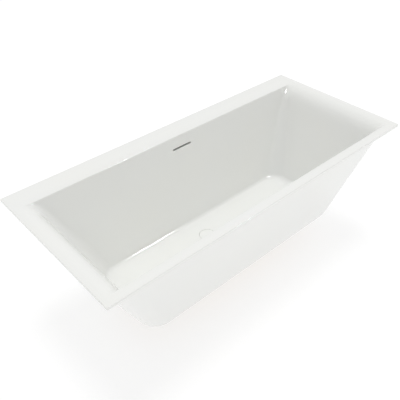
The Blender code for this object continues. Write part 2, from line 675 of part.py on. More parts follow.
def build_overflow_seal(rubber, tool_grey):
    """Gasket between the head and the shell."""
    frame = across(wall_frame())
    outline = stadium(HEAD_LENGTH - 0.001, HEAD_HEIGHT - 0.001)
    seal = prism("overflow_gasket", outline, GAP, GAP + GASKET_THICK, rubber, frame)
    window = prism("gasket_window_tool", stadium(SLOT_LENGTH + 0.003, SLOT_HEIGHT + 0.006),
                   GAP - 0.01, GAP + 0.01, tool_grey, frame)
    combine(seal, window, "DIFFERENCE")


def build_overflow_screw(name, side, steel):
    """Screw through an ear of the head into the shell."""
    frame = across(wall_frame()) @ Matrix.Translation((side * HEAD_SCREW_X, 0, 0))
    seat = HEAD_BASE + EAR_THICK + GAP
    outline = [(0.0, -0.0080), (0.0020, -0.0068), (0.0020, seat), (0.0046, seat)]
    outline += [(0.0044, seat + 0.0016), (0.0028, seat + 0.0028), (0.0, seat + 0.0030)]
    turned(name, outline, steel, steps=12, frame=frame)


def hose_route():
    """Centre line of the overflow hose: down the far wall, then under the floor to the waste."""
    frame = wall_frame()
    start = frame @ Vector((0, SPIGOT_OUT, -0.0200))
    straight = frame @ Vector((0, SPIGOT_OUT, -0.0600))
    low = frame @ Vector((WASTE_X, SPIGOT_OUT + 0.006, -0.3980))
    entry = Vector((WASTE_X, WASTE_Y + SPIGOT_END + 0.016, up(SPIGOT_DEPTH)))
    end = Vector((WASTE_X, WASTE_Y + SPIGOT_END - 0.0200, up(SPIGOT_DEPTH)))
    down_wall = (frame.to_3x3() @ Vector((0, 0, -1))).normalized()
    points = [start]
    first = (straight, straight + down_wall * 0.13, low - down_wall * 0.13, low)
    second = (low, low + down_wall * 0.052, entry + Vector((0, 0.052, 0)), entry)
    for knots, steps in ((first, 8), (second, 9)):
        for step in range(steps + 1):
            share = step / steps
            rest = 1 - share
            point = knots[0] * rest ** 3 + knots[1] * 3 * share * rest ** 2
            point += knots[2] * 3 * share ** 2 * rest + knots[3] * share ** 3
            if (point - points[-1]).length > 0.002:
                points.append(point)
    points.append(end)
    return points


def build_hose(grey):
    """Flexible overflow hose, pushed over both spigots."""
    route = hose_route()
    sides = 14
    outer_rings_made = []
    inner_rings_made = []
    for index, point in enumerate(route):
        before = route[max(index - 1, 0)]
        after = route[min(index + 1, len(route) - 1)]
        along = (after - before).normalized()
        across_pipe = Vector((1, 0, 0)) - along * along.x
        across_pipe.normalize()
        third = along.cross(across_pipe)
        for radius, rings in ((HOSE_RADIUS, outer_rings_made), (HOSE_BORE, inner_rings_made)):
            ring = []
            for corner in range(sides):
                turn = 2 * math.pi * corner / sides
                ring.append(point + radius * (math.cos(turn) * across_pipe + math.sin(turn) * third))
            rings.append(ring)
    finish("overflow_hose", loft(outer_rings_made + inner_rings_made[::-1], True), grey, 40.0)


def build_hose_clamp(name, place, steel):
    """Band clamp round one end of the hose."""
    inner = HOSE_RADIUS + GAP
    outline = [(inner, -0.0045), (inner + 0.0009, -0.0045), (inner + 0.0009, 0.0045), (inner, 0.0045)]
    turned(name, outline, steel, steps=24, frame=place)


def build_overflow(dark, rubber, steel, grey, tool_grey):
    """Everything between the slot and the waste body."""
    build_overflow_head(dark, tool_grey)
    build_overflow_seal(rubber, tool_grey)
    build_overflow_screw("overflow_screw_left", -1, steel)
    build_overflow_screw("overflow_screw_right", 1, steel)
    build_hose(grey)
    build_hose_clamp("hose_clamp_top", wall_frame() @ Matrix.Translation((0, SPIGOT_OUT, -0.0310)), steel)
    lower = Matrix.Translation((WASTE_X, WASTE_Y + SPIGOT_END - 0.0100, up(SPIGOT_DEPTH)))
    build_hose_clamp("hose_clamp_bottom", lower @ Matrix.Rotation(math.pi / 2, 4, "X"), steel)


# ---------------------------------------------------------------- assembly
def clear_scene():
    """Remove whatever the file holds."""
    for item in list(bpy.data.objects):
        bpy.data.objects.remove(item)


def build_supports(wood, steel, zinc, rubber, tool_grey):
    """Board, rails, rail screws and the four feet."""
    build_board(wood, tool_grey)
    build_rail("foot_rail_left", -RAIL_X, steel, tool_grey)
    build_rail("foot_rail_right", RAIL_X, steel, tool_grey)
    for number, place in enumerate(screw_places(), 1):
        build_rail_screw(f"rail_screw_{number}", place, zinc)
    for side, x in (("left", -RAIL_X), ("right", RAIL_X)):
        for row, y in zip(("near", "far"), FOOT_Y):
            build_foot(f"{row}_{side}", (x, y), steel, zinc, rubber)


def build_waste(white, chrome, brass, steel, dark, rubber, tool_grey):
    """Everything on the waste axis."""
    build_waste_flange(chrome, tool_grey)
    build_ring("flange_gasket", WASTE_HOLE + 0.0005, 0.0365, FLANGE_UNDER + GAP, RECESS_FLOOR - GAP, rubber)
    build_ring("body_gasket", WASTE_HOLE + 0.0015, 0.0395, BODY_GASKET_TOP, BODY_TOP - GAP, rubber)
    build_waste_body(dark, tool_grey)
    build_clamp(brass, steel, tool_grey)
    build_click_unit(chrome, steel)
    build_cover(white, chrome, rubber)


def main():
    """Build the whole bath."""
    clear_scene()
    white = make_material("bath_white", (0.90, 0.90, 0.88), 0.12)
    wood = make_material("birch_ply", (0.62, 0.48, 0.33), 0.70)
    steel = make_material("galvanised", (0.58, 0.60, 0.61), 0.42, 1.0)
    zinc = make_material("zinc_plated", (0.66, 0.66, 0.62), 0.35, 1.0)
    chrome = make_material("chrome", (0.80, 0.81, 0.82), 0.10, 1.0)
    brass = make_material("brass", (0.72, 0.55, 0.26), 0.30, 1.0)
    rubber = make_material("rubber", (0.03, 0.03, 0.03), 0.75)
    dark = make_material("black_plastic", (0.025, 0.025, 0.027), 0.45)
    plastic = make_material("white_plastic", (0.78, 0.78, 0.76), 0.40)
    grey = make_material("grey_hose", (0.42, 0.43, 0.44), 0.55)
    tool_grey = make_material("tool", (0.5, 0.5, 0.5), 0.5)
    build_shell(white, tool_grey)
    build_supports(wood, steel, zinc, rubber, tool_grey)
    build_waste(white, chrome, brass, steel, dark, rubber, tool_grey)
    build_trap(plastic, dark, rubber, tool_grey)
    build_outlet(plastic, dark)
    build_overflow(dark, rubber, steel, grey, tool_grey)


main()
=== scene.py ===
"""Rectangular double-ended bath: fine shell, waste, overflow, trap, rails and adjustable feet."""

import json
import math

import bpy
from mathutils import Matrix, Vector


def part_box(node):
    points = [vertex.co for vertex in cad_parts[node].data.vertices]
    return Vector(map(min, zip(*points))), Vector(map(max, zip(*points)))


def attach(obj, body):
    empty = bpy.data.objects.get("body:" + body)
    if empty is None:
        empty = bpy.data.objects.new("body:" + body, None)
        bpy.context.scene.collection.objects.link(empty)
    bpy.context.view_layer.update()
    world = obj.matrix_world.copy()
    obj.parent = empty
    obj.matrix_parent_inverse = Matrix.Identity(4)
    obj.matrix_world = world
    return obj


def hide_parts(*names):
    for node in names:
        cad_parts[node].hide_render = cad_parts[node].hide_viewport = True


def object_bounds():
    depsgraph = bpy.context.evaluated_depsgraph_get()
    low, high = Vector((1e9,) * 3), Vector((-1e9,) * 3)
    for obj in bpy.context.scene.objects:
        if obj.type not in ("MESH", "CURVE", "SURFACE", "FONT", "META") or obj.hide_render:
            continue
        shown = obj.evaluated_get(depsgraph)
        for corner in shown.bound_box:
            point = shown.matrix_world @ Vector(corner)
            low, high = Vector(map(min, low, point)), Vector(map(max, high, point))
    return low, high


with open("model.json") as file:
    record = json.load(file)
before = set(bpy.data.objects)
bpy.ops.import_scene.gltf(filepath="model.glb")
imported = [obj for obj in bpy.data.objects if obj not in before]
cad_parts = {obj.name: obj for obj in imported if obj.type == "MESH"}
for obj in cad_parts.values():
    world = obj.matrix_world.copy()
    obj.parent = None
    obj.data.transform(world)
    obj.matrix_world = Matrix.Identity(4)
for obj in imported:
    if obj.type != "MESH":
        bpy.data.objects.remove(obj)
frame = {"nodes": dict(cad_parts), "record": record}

bl_info = {
    "name": "Double-ended bath",
    "version": (1, 0, 0),
    "blender": (4, 5, 0),
    "location": "View3D > Sidebar > Bath",
    "description": "Builds a rectangular bath with its waste, overflow and feet",
    "category": "Object",
}

CAD_LOW, CAD_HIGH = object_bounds()
RIM = CAD_HIGH.z
HALF_X = CAD_HIGH.x
HALF_Y = CAD_HIGH.y
COVER_LOW, COVER_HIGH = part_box("waste_cover")
WASTE_X = (COVER_LOW.x + COVER_HIGH.x) / 2
WASTE_Y = (COVER_LOW.y + COVER_HIGH.y) / 2
COLOURS = {slot["slot"]: tuple(slot["base_color"]) for slot in frame["record"]["materials"]}

MERGE = 1e-6
FULL_TURN = 2 * math.pi
QUARTER_TURN = math.pi / 2
FLAT_ANGLE = math.radians(0.5)          # faces this close to level become one
BEVEL_ANGLE = math.radians(38.0)        # edges sharper than this are rounded
SHARP_ANGLE = math.radians(40.0)

# ring segments: half an end, a corner, half a side
END_STEPS = 8
CORNER_STEPS = 22
SIDE_STEPS = 14
RING_POINTS = 4 * (END_STEPS + CORNER_STEPS + SIDE_STEPS)


# ---------------------------------------------------------------- sizes and colours
class BathSizes(bpy.types.PropertyGroup):
    """Sizes of the shell, in metres below the rim or in from its edge."""

    far_deck: bpy.props.FloatProperty(
        name="Far deck", description="Width of the tap deck", default=0.107, unit="LENGTH")
    near_deck: bpy.props.FloatProperty(
        name="Near deck", description="Width of the near rim", default=0.040, unit="LENGTH")
    end_deck: bpy.props.FloatProperty(
        name="End deck", description="Flat left at each end", default=0.026, unit="LENGTH")
    rim_thickness: bpy.props.FloatProperty(
        name="Rim thickness", description="Height of the rim's edge", default=0.012, unit="LENGTH")
    well_depth: bpy.props.FloatProperty(
        name="Well depth", description="Rim to floor at the waste", default=0.450, unit="LENGTH")
    base_depth: bpy.props.FloatProperty(
        name="Base depth", description="Rim to the shell's underside", default=0.480, unit="LENGTH")
    thread_pitch: bpy.props.FloatProperty(
        name="Thread pitch", description="Pitch of the foot rods", default=0.0015, unit="LENGTH")
    hose_pitch: bpy.props.FloatProperty(
        name="Hose pitch", description="Pitch of the hose's ribs", default=0.0040, unit="LENGTH")


class BathColours(bpy.types.PropertyGroup):
    """Base colours of the finishes."""

    white: bpy.props.FloatVectorProperty(
        name="Acrylic", description="Colour of the bath", subtype="COLOR", size=3,
        default=COLOURS["bath_white"], min=0.0, max=1.0)
    floor: bpy.props.FloatVectorProperty(
        name="Floor", description="Colour of the studio floor", subtype="COLOR", size=3,
        default=(0.34, 0.34, 0.34), min=0.0, max=1.0)


# ---------------------------------------------------------------- materials
NOISE_LOW, NOISE_HIGH = 0.3, 0.7        # where most values of a noise lie
GRAIN_DEPTH = 0.0001


def add_node(tree, kind, **sockets):
    """One node with some of its inputs set."""
    node = tree.nodes.new(kind)
    for name, value in sockets.items():
        node.inputs[name.replace("_", " ")].default_value = value
    return node


def start_finish(name, stretch=(1, 1, 1)):
    """A Principled material with stretched Object coordinates ready for its patterns."""
    made = bpy.data.materials.new(name)
    made.use_nodes = True
    tree = made.node_tree
    place = add_node(tree, "ShaderNodeTexCoord")
    mapping = add_node(tree, "ShaderNodeMapping", Scale=stretch)
    tree.links.new(place.outputs["Object"], mapping.inputs["Vector"])
    return made, tree, tree.nodes["Principled BSDF"], mapping.outputs["Vector"]


def tint(tree, shader, factor, low, high):
    """Drive the base colour between two colours."""
    ramp = add_node(tree, "ShaderNodeValToRGB")
    stops = ramp.color_ramp.elements
    for stop, position, colour in zip(stops, (NOISE_LOW, NOISE_HIGH), (low, high)):
        stop.position = position
        stop.color = (*colour, 1.0)
    tree.links.new(factor, ramp.inputs["Fac"])
    tree.links.new(ramp.outputs["Color"], shader.inputs["Base Color"])


def vary_roughness(tree, shader, factor, low, high):
    """Drive the roughness between two values."""
    spread = add_node(tree, "ShaderNodeMapRange", From_Min=NOISE_LOW, From_Max=NOISE_HIGH,
                      To_Min=low, To_Max=high)
    tree.links.new(factor, spread.inputs["Value"])
    tree.links.new(spread.outputs["Result"], shader.inputs["Roughness"])


def add_noise(tree, vector, **sockets):
    """A noise laid on given coordinates."""
    noise = add_node(tree, "ShaderNodeTexNoise", **sockets)
    tree.links.new(vector, noise.inputs["Vector"])
    return noise.outputs["Fac"]


def relief(tree, shader, height, strength, depth):
    """Bump from a height."""
    bump = add_node(tree, "ShaderNodeBump", Strength=strength, Distance=depth)
    tree.links.new(height, bump.inputs["Height"])
    tree.links.new(bump.outputs["Normal"], shader.inputs["Normal"])


def fine_relief(tree, shader, vector, scale, strength, depth=GRAIN_DEPTH):
    """Fine bump from a noise of its own."""
    relief(tree, shader, add_noise(tree, vector, Scale=scale, Detail=3.0), strength, depth)


def shaded(colour, factor):
    """The same colour, lighter or darker."""
    return tuple(min(1.0, part * factor) for part in colour)


def noise_finish(slot, name, spread, scale, rough, grain, strength, stretch=(1, 1, 1), **sockets):
    """A finish whose tone, gloss and grain all drift a little."""
    made, tree, shader, vector = start_finish(name, stretch)
    cloud = add_noise(tree, vector, Scale=scale, Detail=4.0)
    colour = COLOURS[slot]
    tint(tree, shader, cloud, shaded(colour, 1 - spread), shaded(colour, 1 + spread))
    vary_roughness(tree, shader, cloud, *rough)
    fine_relief(tree, shader, vector, grain, strength)
    for socket, value in sockets.items():
        shader.inputs[socket.replace("_", " ")].default_value = value
    return made


def acrylic_finish(colour):
    """Glossy sanitary acrylic: faint warmth drift, faint waviness under a hard gloss."""
    made, tree, shader, vector = start_finish("gloss_acrylic")
    cloud = add_noise(tree, vector, Scale=3.0, Detail=2.0)
    plain = (colour[0] * 0.996, colour[1] * 1.004, colour[2])
    warm = (colour[0], colour[1] * 1.004, colour[2] * 0.990)
    tint(tree, shader, cloud, warm, plain)
    vary_roughness(tree, shader, cloud, 0.07, 0.11)
    fine_relief(tree, shader, vector, 18.0, 0.015, 0.0003)
    shader.inputs["IOR"].default_value = 1.49
    shader.inputs["Coat Weight"].default_value = 0.35
    shader.inputs["Coat Roughness"].default_value = 0.03
    return made


def galvanised_finish():
    """Hot-dip zinc with its crystal spangle."""
    made, tree, shader, vector = start_finish("spangled_zinc")
    cells = add_node(tree, "ShaderNodeTexVoronoi", Scale=130.0)
    tree.links.new(vector, cells.inputs["Vector"])
    split = add_node(tree, "ShaderNodeSeparateColor")
    tree.links.new(cells.outputs["Color"], split.inputs["Color"])
    colour = COLOURS["galvanised"]
    tint(tree, shader, split.outputs["Red"], shaded(colour, 0.84), shaded(colour, 1.12))
    vary_roughness(tree, shader, split.outputs["Green"], 0.34, 0.52)
    fine_relief(tree, shader, vector, 300.0, 0.12)
    shader.inputs["Metallic"].default_value = 1.0
    return made


def mix_values(tree, first, second):
    """A mix of two values."""
    mix = add_node(tree, "ShaderNodeMix")
    mix.data_type = "FLOAT"
    tree.links.new(first, mix.inputs[2])
    tree.links.new(second, mix.inputs[3])
    return mix


def ply_finish():
    """Birch ply: long face grain, and thin plies where an edge shows."""
    made, tree, shader, vector = start_finish("birch_ply", (3.0, 60.0, 60.0))
    grain = add_noise(tree, vector, Scale=2.2, Detail=8.0, Roughness=0.62, Distortion=0.9)
    figure = add_noise(tree, vector, Scale=0.25, Detail=5.0, Distortion=1.6)
    place = add_node(tree, "ShaderNodeTexCoord")
    plies = add_node(tree, "ShaderNodeTexWave", Scale=110.0, Distortion=0.4)
    plies.bands_direction = "Z"
    tree.links.new(place.outputs["Object"], plies.inputs["Vector"])
    turn = add_node(tree, "ShaderNodeNewGeometry")
    split = add_node(tree, "ShaderNodeSeparateXYZ")
    tree.links.new(turn.outputs["Normal"], split.inputs["Vector"])
    flat = add_node(tree, "ShaderNodeMath")
    flat.operation = "ABSOLUTE"
    tree.links.new(split.outputs["Z"], flat.inputs[0])
    face = mix_values(tree, grain, figure)
    face.inputs["Factor"].default_value = 0.45
    choose = mix_values(tree, plies.outputs["Fac"], face.outputs[0])
    tree.links.new(flat.outputs["Value"], choose.inputs["Factor"])
    colour = COLOURS["plywood"]
    tint(tree, shader, choose.outputs[0], shaded(colour, 0.80), shaded(colour, 1.12))
    vary_roughness(tree, shader, grain, 0.62, 0.78)
    relief(tree, shader, grain, 0.25, 0.0004)
    return made


NOISE_FINISHES = {
    "zinc_plated": dict(name="zinc_plate", spread=0.08, scale=90.0, rough=(0.28, 0.40),
                        grain=900.0, strength=0.10, Metallic=1.0),
    "chrome": dict(name="polished_chrome", spread=0.02, scale=60.0, rough=(0.05, 0.10),
                   grain=300.0, strength=0.02, Metallic=1.0),
    "brass": dict(name="machined_brass", spread=0.07, scale=8.0, rough=(0.26, 0.36),
                  grain=300.0, strength=0.12, stretch=(1, 30, 30), Metallic=1.0),
    "rubber": dict(name="black_rubber", spread=0.18, scale=60.0, rough=(0.68, 0.85),
                   grain=1400.0, strength=0.25),
    "black_plastic": dict(name="black_polypropylene", spread=0.12, scale=25.0,
                          rough=(0.38, 0.52), grain=1800.0, strength=0.22),
    "white_plastic": dict(name="white_polypropylene", spread=0.03, scale=25.0,
                          rough=(0.34, 0.46), grain=1500.0, strength=0.16),
    "grey_hose": dict(name="grey_polyethylene", spread=0.06, scale=30.0,
                      rough=(0.42, 0.58), grain=1200.0, strength=0.18),
}
MADE_FINISHES = {}


def finish_for(slot):
    """The finish of one of the record's material slots, made once."""
    if slot not in MADE_FINISHES:
        if slot == "bath_white":
            made = acrylic_finish(tuple(bpy.context.scene.bath_colours.white))
        elif slot == "galvanised":
            made = galvanised_finish()
        elif slot == "plywood":
            made = ply_finish()
        else:
            made = noise_finish(slot, **NOISE_FINISHES[slot])
        MADE_FINISHES[slot] = made
    return MADE_FINISHES[slot]


# ---------------------------------------------------------------- modelling helpers
def deselect():
    """Start each piece with nothing selected."""
    bpy.ops.object.select_all(action="DESELECT")


def select_only(piece):
    """Make one piece the whole selection."""
    deselect()
    piece.select_set(True)
    bpy.context.view_layer.objects.active = piece


def edit(piece):
    """Open one piece for editing with everything selected."""
    select_only(piece)
    bpy.ops.object.mode_set(mode="EDIT")
    bpy.ops.mesh.select_all(action="SELECT")


def leave():
    """Back to object mode."""
    bpy.ops.object.mode_set(mode="OBJECT")


def place_in_mesh(piece, matrix):
    """Move a piece by moving its mesh, so that its object stays at the origin."""
    piece.data.transform(matrix)
    piece.data.update()


def turns_round(count):
    """Angles spread evenly round a circle."""
    return [FULL_TURN * index / count for index in range(count)]


def shaped_ring(reaches, height):
    """Points spread evenly round the Z axis, each at its own reach."""
    return [Vector((reach * math.cos(turn), reach * math.sin(turn), height))
            for reach, turn in zip(reaches, turns_round(len(reaches)))]


def face_outward():
    """In edit mode, turn every face of a closed skin outward."""
    bpy.ops.mesh.select_all(action="SELECT")
    bpy.ops.mesh.normals_make_consistent(inside=False)


def name_piece(piece, name):
    """Name a piece and its mesh."""
    piece.name = name
    piece.data.name = name


def lay_rings(name, rings, looped, capped=False):
    """A grid whose rows are laid along rings of points, stitched into one closed skin."""
    deselect()
    columns = len(rings[0])
    rows = list(rings) + ([rings[0]] if looped else [])
    bpy.ops.mesh.primitive_grid_add(x_subdivisions=columns, y_subdivisions=len(rows) - 1,
                                    size=1.0)
    piece = bpy.context.object
    points = [value for ring in rows for point in (*ring, ring[0]) for value in point]
    piece.data.vertices.foreach_set("co", points)
    piece.location = (0.0, 0.0, 0.0)
    edit(piece)
    bpy.ops.mesh.remove_doubles(threshold=MERGE)
    if capped:
        bpy.ops.mesh.select_all(action="SELECT")
        bpy.ops.mesh.fill_holes(sides=0)
    face_outward()
    leave()
    name_piece(piece, name)
    return piece


def turn_outline(name, outline, steps=64, matrix=None):
    """A ring grown along a (radius, height) outline by extruding and resizing it."""
    deselect()
    radius, height = outline[0]
    closed = outline[0] == outline[-1]
    fill = "NOTHING" if closed else "NGON"
    bpy.ops.mesh.primitive_circle_add(vertices=steps, radius=radius, fill_type=fill,
                                      location=(0.0, 0.0, height))
    piece = bpy.context.object
    bpy.ops.object.transform_apply(location=True, rotation=True, scale=True)
    edit(piece)
    bpy.ops.mesh.select_mode(type="EDGE")
    for next_radius, next_height in outline[1:]:
        bpy.ops.mesh.extrude_edges_move()
        ratio = next_radius / radius
        bpy.ops.transform.resize(value=(ratio, ratio, 1.0), center_override=(0.0, 0.0, height))
        bpy.ops.transform.translate(value=(0.0, 0.0, next_height - height))
        radius, height = next_radius, next_height
    if not closed:
        bpy.ops.mesh.edge_face_add()
    bpy.ops.mesh.select_all(action="SELECT")
    bpy.ops.mesh.remove_doubles(threshold=MERGE)
    face_outward()
    leave()
    name_piece(piece, name)
    if matrix:
        place_in_mesh(piece, matrix)
    return piece


def add_block(name, low, high):
    """A block between two corners."""
    deselect()
    middle = [(a + b) / 2 for a, b in zip(low, high)]
    size = [b - a for a, b in zip(low, high)]
    bpy.ops.mesh.primitive_cube_add(size=1.0, location=middle, scale=size)
    piece = bpy.context.object
    bpy.ops.object.transform_apply(location=True, rotation=True, scale=True)
    name_piece(piece, name)
    return piece


def apply_change(piece, kind, **settings):
    """Add one modifier and apply it."""
    select_only(piece)
    change = piece.modifiers.new(kind.lower(), kind)
    for setting, value in settings.items():
        setattr(change, setting, value)
    bpy.ops.object.modifier_apply(modifier=change.name)


def cut(piece, tool, operation="DIFFERENCE"):
    """Cut with a tool or join it on, and throw the tool away."""
    apply_change(piece, "BOOLEAN", object=tool, operation=operation, solver="EXACT")
    bpy.data.objects.remove(tool)


def copy_piece(piece, name, matrix):
    """A copy with a mesh of its own, moved."""
    made = piece.copy()
    made.data = piece.data.copy()
    bpy.context.scene.collection.objects.link(made)
    name_piece(made, name)
    place_in_mesh(made, matrix)
    return made


def hand_over(piece, body, slot, node, angle=30.0):
    """Shade a piece, give it its finish, tie it to its body and hide the node it stands for."""
    select_only(piece)
    bpy.ops.object.shade_smooth_by_angle(angle=math.radians(angle))
    piece.data.materials.clear()
    piece.data.materials.append(finish_for(slot))
    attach(piece, body)
    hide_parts(node)


def refine_node(node, name, slot, width, segments=2, angle=30.0):
    """A merged copy of one of the bath's nodes with its sharp edges broken."""
    source = frame["nodes"][node]
    made = source.copy()
    made.data = source.data.copy()
    made.parent = None
    made.matrix_world = Matrix()
    made.modifiers.clear()
    bpy.context.scene.collection.objects.link(made)
    name_piece(made, name)
    edit(made)
    bpy.ops.mesh.remove_doubles(threshold=MERGE)
    bpy.ops.mesh.dissolve_limited(angle_limit=FLAT_ANGLE)
    leave()
    apply_change(made, "BEVEL", width=width, segments=segments, limit_method="ANGLE",
                 angle_limit=BEVEL_ANGLE, use_clamp_overlap=True, harden_normals=False)
    hand_over(made, "bath", slot, node, angle=angle)


def centre_of(node):
    """Middle of a node's box."""
    low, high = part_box(node)
    return (low + high) / 2


# ---------------------------------------------------------------- the shell
def smooth(share):
    """Ease in and out between 0 and 1."""
    return share * share * (3 - 2 * share)


def plan_ring(end_x, near_y, far_y, radius, side_z, end_z):
    """A rounded rectangle whose ends and sides may lie at two heights, from the +X end on."""
    middle_y = (near_y + far_y) / 2
    half_y = (far_y - near_y) / 2
    quarter = []
    for step in range(END_STEPS):
        quarter.append((end_x, (half_y - radius) * step / END_STEPS, 0.0))
    for step in range(CORNER_STEPS + 1):
        turn = step / CORNER_STEPS * QUARTER_TURN
        quarter.append((end_x - radius + radius * math.cos(turn),
                        half_y - radius + radius * math.sin(turn), smooth(step / CORNER_STEPS)))
    for step in range(1, SIDE_STEPS):
        quarter.append(((end_x - radius) * (1 - step / SIDE_STEPS), half_y, 1.0))
    mirrored = [(-x, y, share) for x, y, share in quarter[:0:-1]]
    far_half = quarter + [(0.0, half_y, 1.0)] + mirrored
    near_half = [(-x, -y, share) for x, y, share in far_half]
    return [Vector((x, middle_y + y, end_z + (side_z - end_z) * share))
            for x, y, share in far_half + near_half]


def round_ring(radius, height):
    """A circle about the waste with as many points as a plan ring."""
    return [Vector((WASTE_X + radius * math.cos(turn), WASTE_Y + radius * math.sin(turn), height))
            for turn in turns_round(RING_POINTS)]


def ease_rows(rows, steps):
    """Fill in between rows of numbers with a smooth curve through them all."""
    filled = []
    for index in range(len(rows) - 1):
        before = rows[max(index - 1, 0)]
        start, end = rows[index], rows[index + 1]
        after = rows[min(index + 2, len(rows) - 1)]
        for step in range(steps):
            t = step / steps
            filled.append([
                0.5 * (2 * b + (c - a) * t + (2 * a - 5 * b + 4 * c - d) * t ** 2
                       + (3 * b - a - 3 * c + d) * t ** 3)
                for a, b, c, d in zip(before, start, end, after)])
    filled.append(list(rows[-1]))
    return filled


# slopes are inward run for each metre down
SIDE_SLOPE = math.tan(math.radians(14.5))
OUTER_SIDE_SLOPE = math.tan(math.radians(12.0))
END_SLOPE = 0.42
OUTER_END_SLOPE = 0.485
OUTER_END = 0.598           # half length of the underside
SIDE_WALL = 0.0165
SIDE_FILLET = 0.018
END_FILLET = 0.040
FLOOR_CORNER = 0.082        # plan radius where the walls meet the floor
FLOOR_FALL = 0.003
FLOOR_STEPS = 10
RECESS_RADIUS = 0.0412
RECESS_DEPTH = 0.007
WASTE_HOLE = 0.026
BASE_ROUND = 0.022
BOARD_INSET = 0.040
BOARD_POCKET = 0.012
CORNER_TOP = 0.095          # plan radius of the outer corners, at the rim and at the base
CORNER_BASE = 0.088
RIM_CORNER = 0.0045
SLOT_DEPTH = 0.062
SLOT_LENGTH = 0.113
SLOT_HEIGHT = 0.010
SLOT_EDGE = 0.0007
EAR_X = 0.0720
EAR_HOLE = 0.0024


def side_inset(depth):
    """How far the long walls have come in from the opening at a depth."""
    return 0.003 + SIDE_SLOPE * (depth - 0.0055)


def end_inset(depth):
    """How far the end walls have come in from the opening, below the headrest roll."""
    return 0.079 + END_SLOPE * (depth - 0.065)


def fillet(inset_at, slope, radius, floor_depth, steps):
    """Points (inset, depth) of the arc that joins a sloping wall to the floor."""
    total = QUARTER_TURN - math.atan(slope)
    centre = inset_at(floor_depth) + radius * math.tan(total / 2)
    turns = [total * (1 - step / steps) for step in range(steps + 1)]
    return [(centre - radius * math.sin(turn), floor_depth - radius + radius * math.cos(turn))
            for turn in turns]


def well_rings(sizes):
    """The bathing surface, from the rim opening to the waste hole."""
    side = [(0.0, 0.0), (0.0010, 0.0006), (0.0022, 0.0025), (0.0030, 0.0055)]
    end = [(0.0, 0.0), (0.012, 0.0016), (0.026, 0.0060), (0.040, 0.0135), (0.053, 0.0240),
           (0.065, 0.0390), (0.0745, 0.0560)]
    corner = [0.018, 0.020, 0.023, 0.027, 0.031, 0.034, 0.037]
    side += [(side_inset(depth), depth) for depth in (0.018, 0.034, 0.052)]
    for depth in (0.075, 0.110, 0.150, 0.190, 0.230, 0.270, 0.300):
        side.append((side_inset(depth), depth))
        end.append((end_inset(depth), depth))
        corner.append(0.036 + 0.140 * (depth - 0.050))
    rows = ease_rows([(*a, *b, c) for a, b, c in zip(side, end, corner)], 4)
    foot = sizes.well_depth - FLOOR_FALL
    steps = 16
    side = fillet(side_inset, SIDE_SLOPE, SIDE_FILLET, foot, steps)
    end = fillet(end_inset, END_SLOPE, END_FILLET, foot, steps)
    rows += [(*a, *b, FLOOR_CORNER - 0.012 * step / steps)
             for step, (a, b) in enumerate(zip(side, end))]
    opening_x = HALF_X - sizes.end_deck
    near = -HALF_Y + sizes.near_deck
    far = HALF_Y - sizes.far_deck
    rings = [plan_ring(opening_x - end_in, near + side_in, far - side_in, radius,
                       RIM - max(side_deep, 0.0), RIM - max(end_deep, 0.0))
             for side_in, side_deep, end_in, end_deep, radius in rows]
    edge = rings[-1]
    target = round_ring(RECESS_RADIUS + 0.005, RIM - sizes.well_depth)
    for step in range(1, FLOOR_STEPS + 1):
        share = step / FLOOR_STEPS
        ring = [a.lerp(b, share) for a, b in zip(edge, target)]
        for point in ring:
            point.z = RIM - foot - FLOOR_FALL * smooth(share)
        rings.append(ring)
    floor = RIM - sizes.well_depth
    for out, fall in ((0.0012, 0.0), (0.0004, 0.0003), (0.0, 0.0012), (0.0, RECESS_DEPTH - 0.0010),
                      (-0.0004, RECESS_DEPTH - 0.0002), (-0.0012, RECESS_DEPTH)):
        rings.append(round_ring(RECESS_RADIUS + out, floor - fall))
    rings.append(round_ring(WASTE_HOLE, floor - RECESS_DEPTH))
    return rings


def outer_sides(sizes, depth):
    """Outer faces of the long walls, near and far."""
    drop = depth - sizes.rim_thickness
    inset = side_inset(sizes.rim_thickness) - SIDE_WALL + OUTER_SIDE_SLOPE * drop
    return -HALF_Y + sizes.near_deck + inset, HALF_Y - sizes.far_deck - inset


def outward_arc(slope, radius, steps):
    """Points (inset, rise) of the arc from the underside up to a wall that leans out."""
    lean = math.atan(slope)
    centre = radius * (1 - math.sin(lean)) / math.cos(lean)
    turns = [(QUARTER_TURN - lean) * step / steps for step in range(steps + 1)]
    return [(centre - radius * math.sin(turn), radius - radius * math.cos(turn)) for turn in turns]


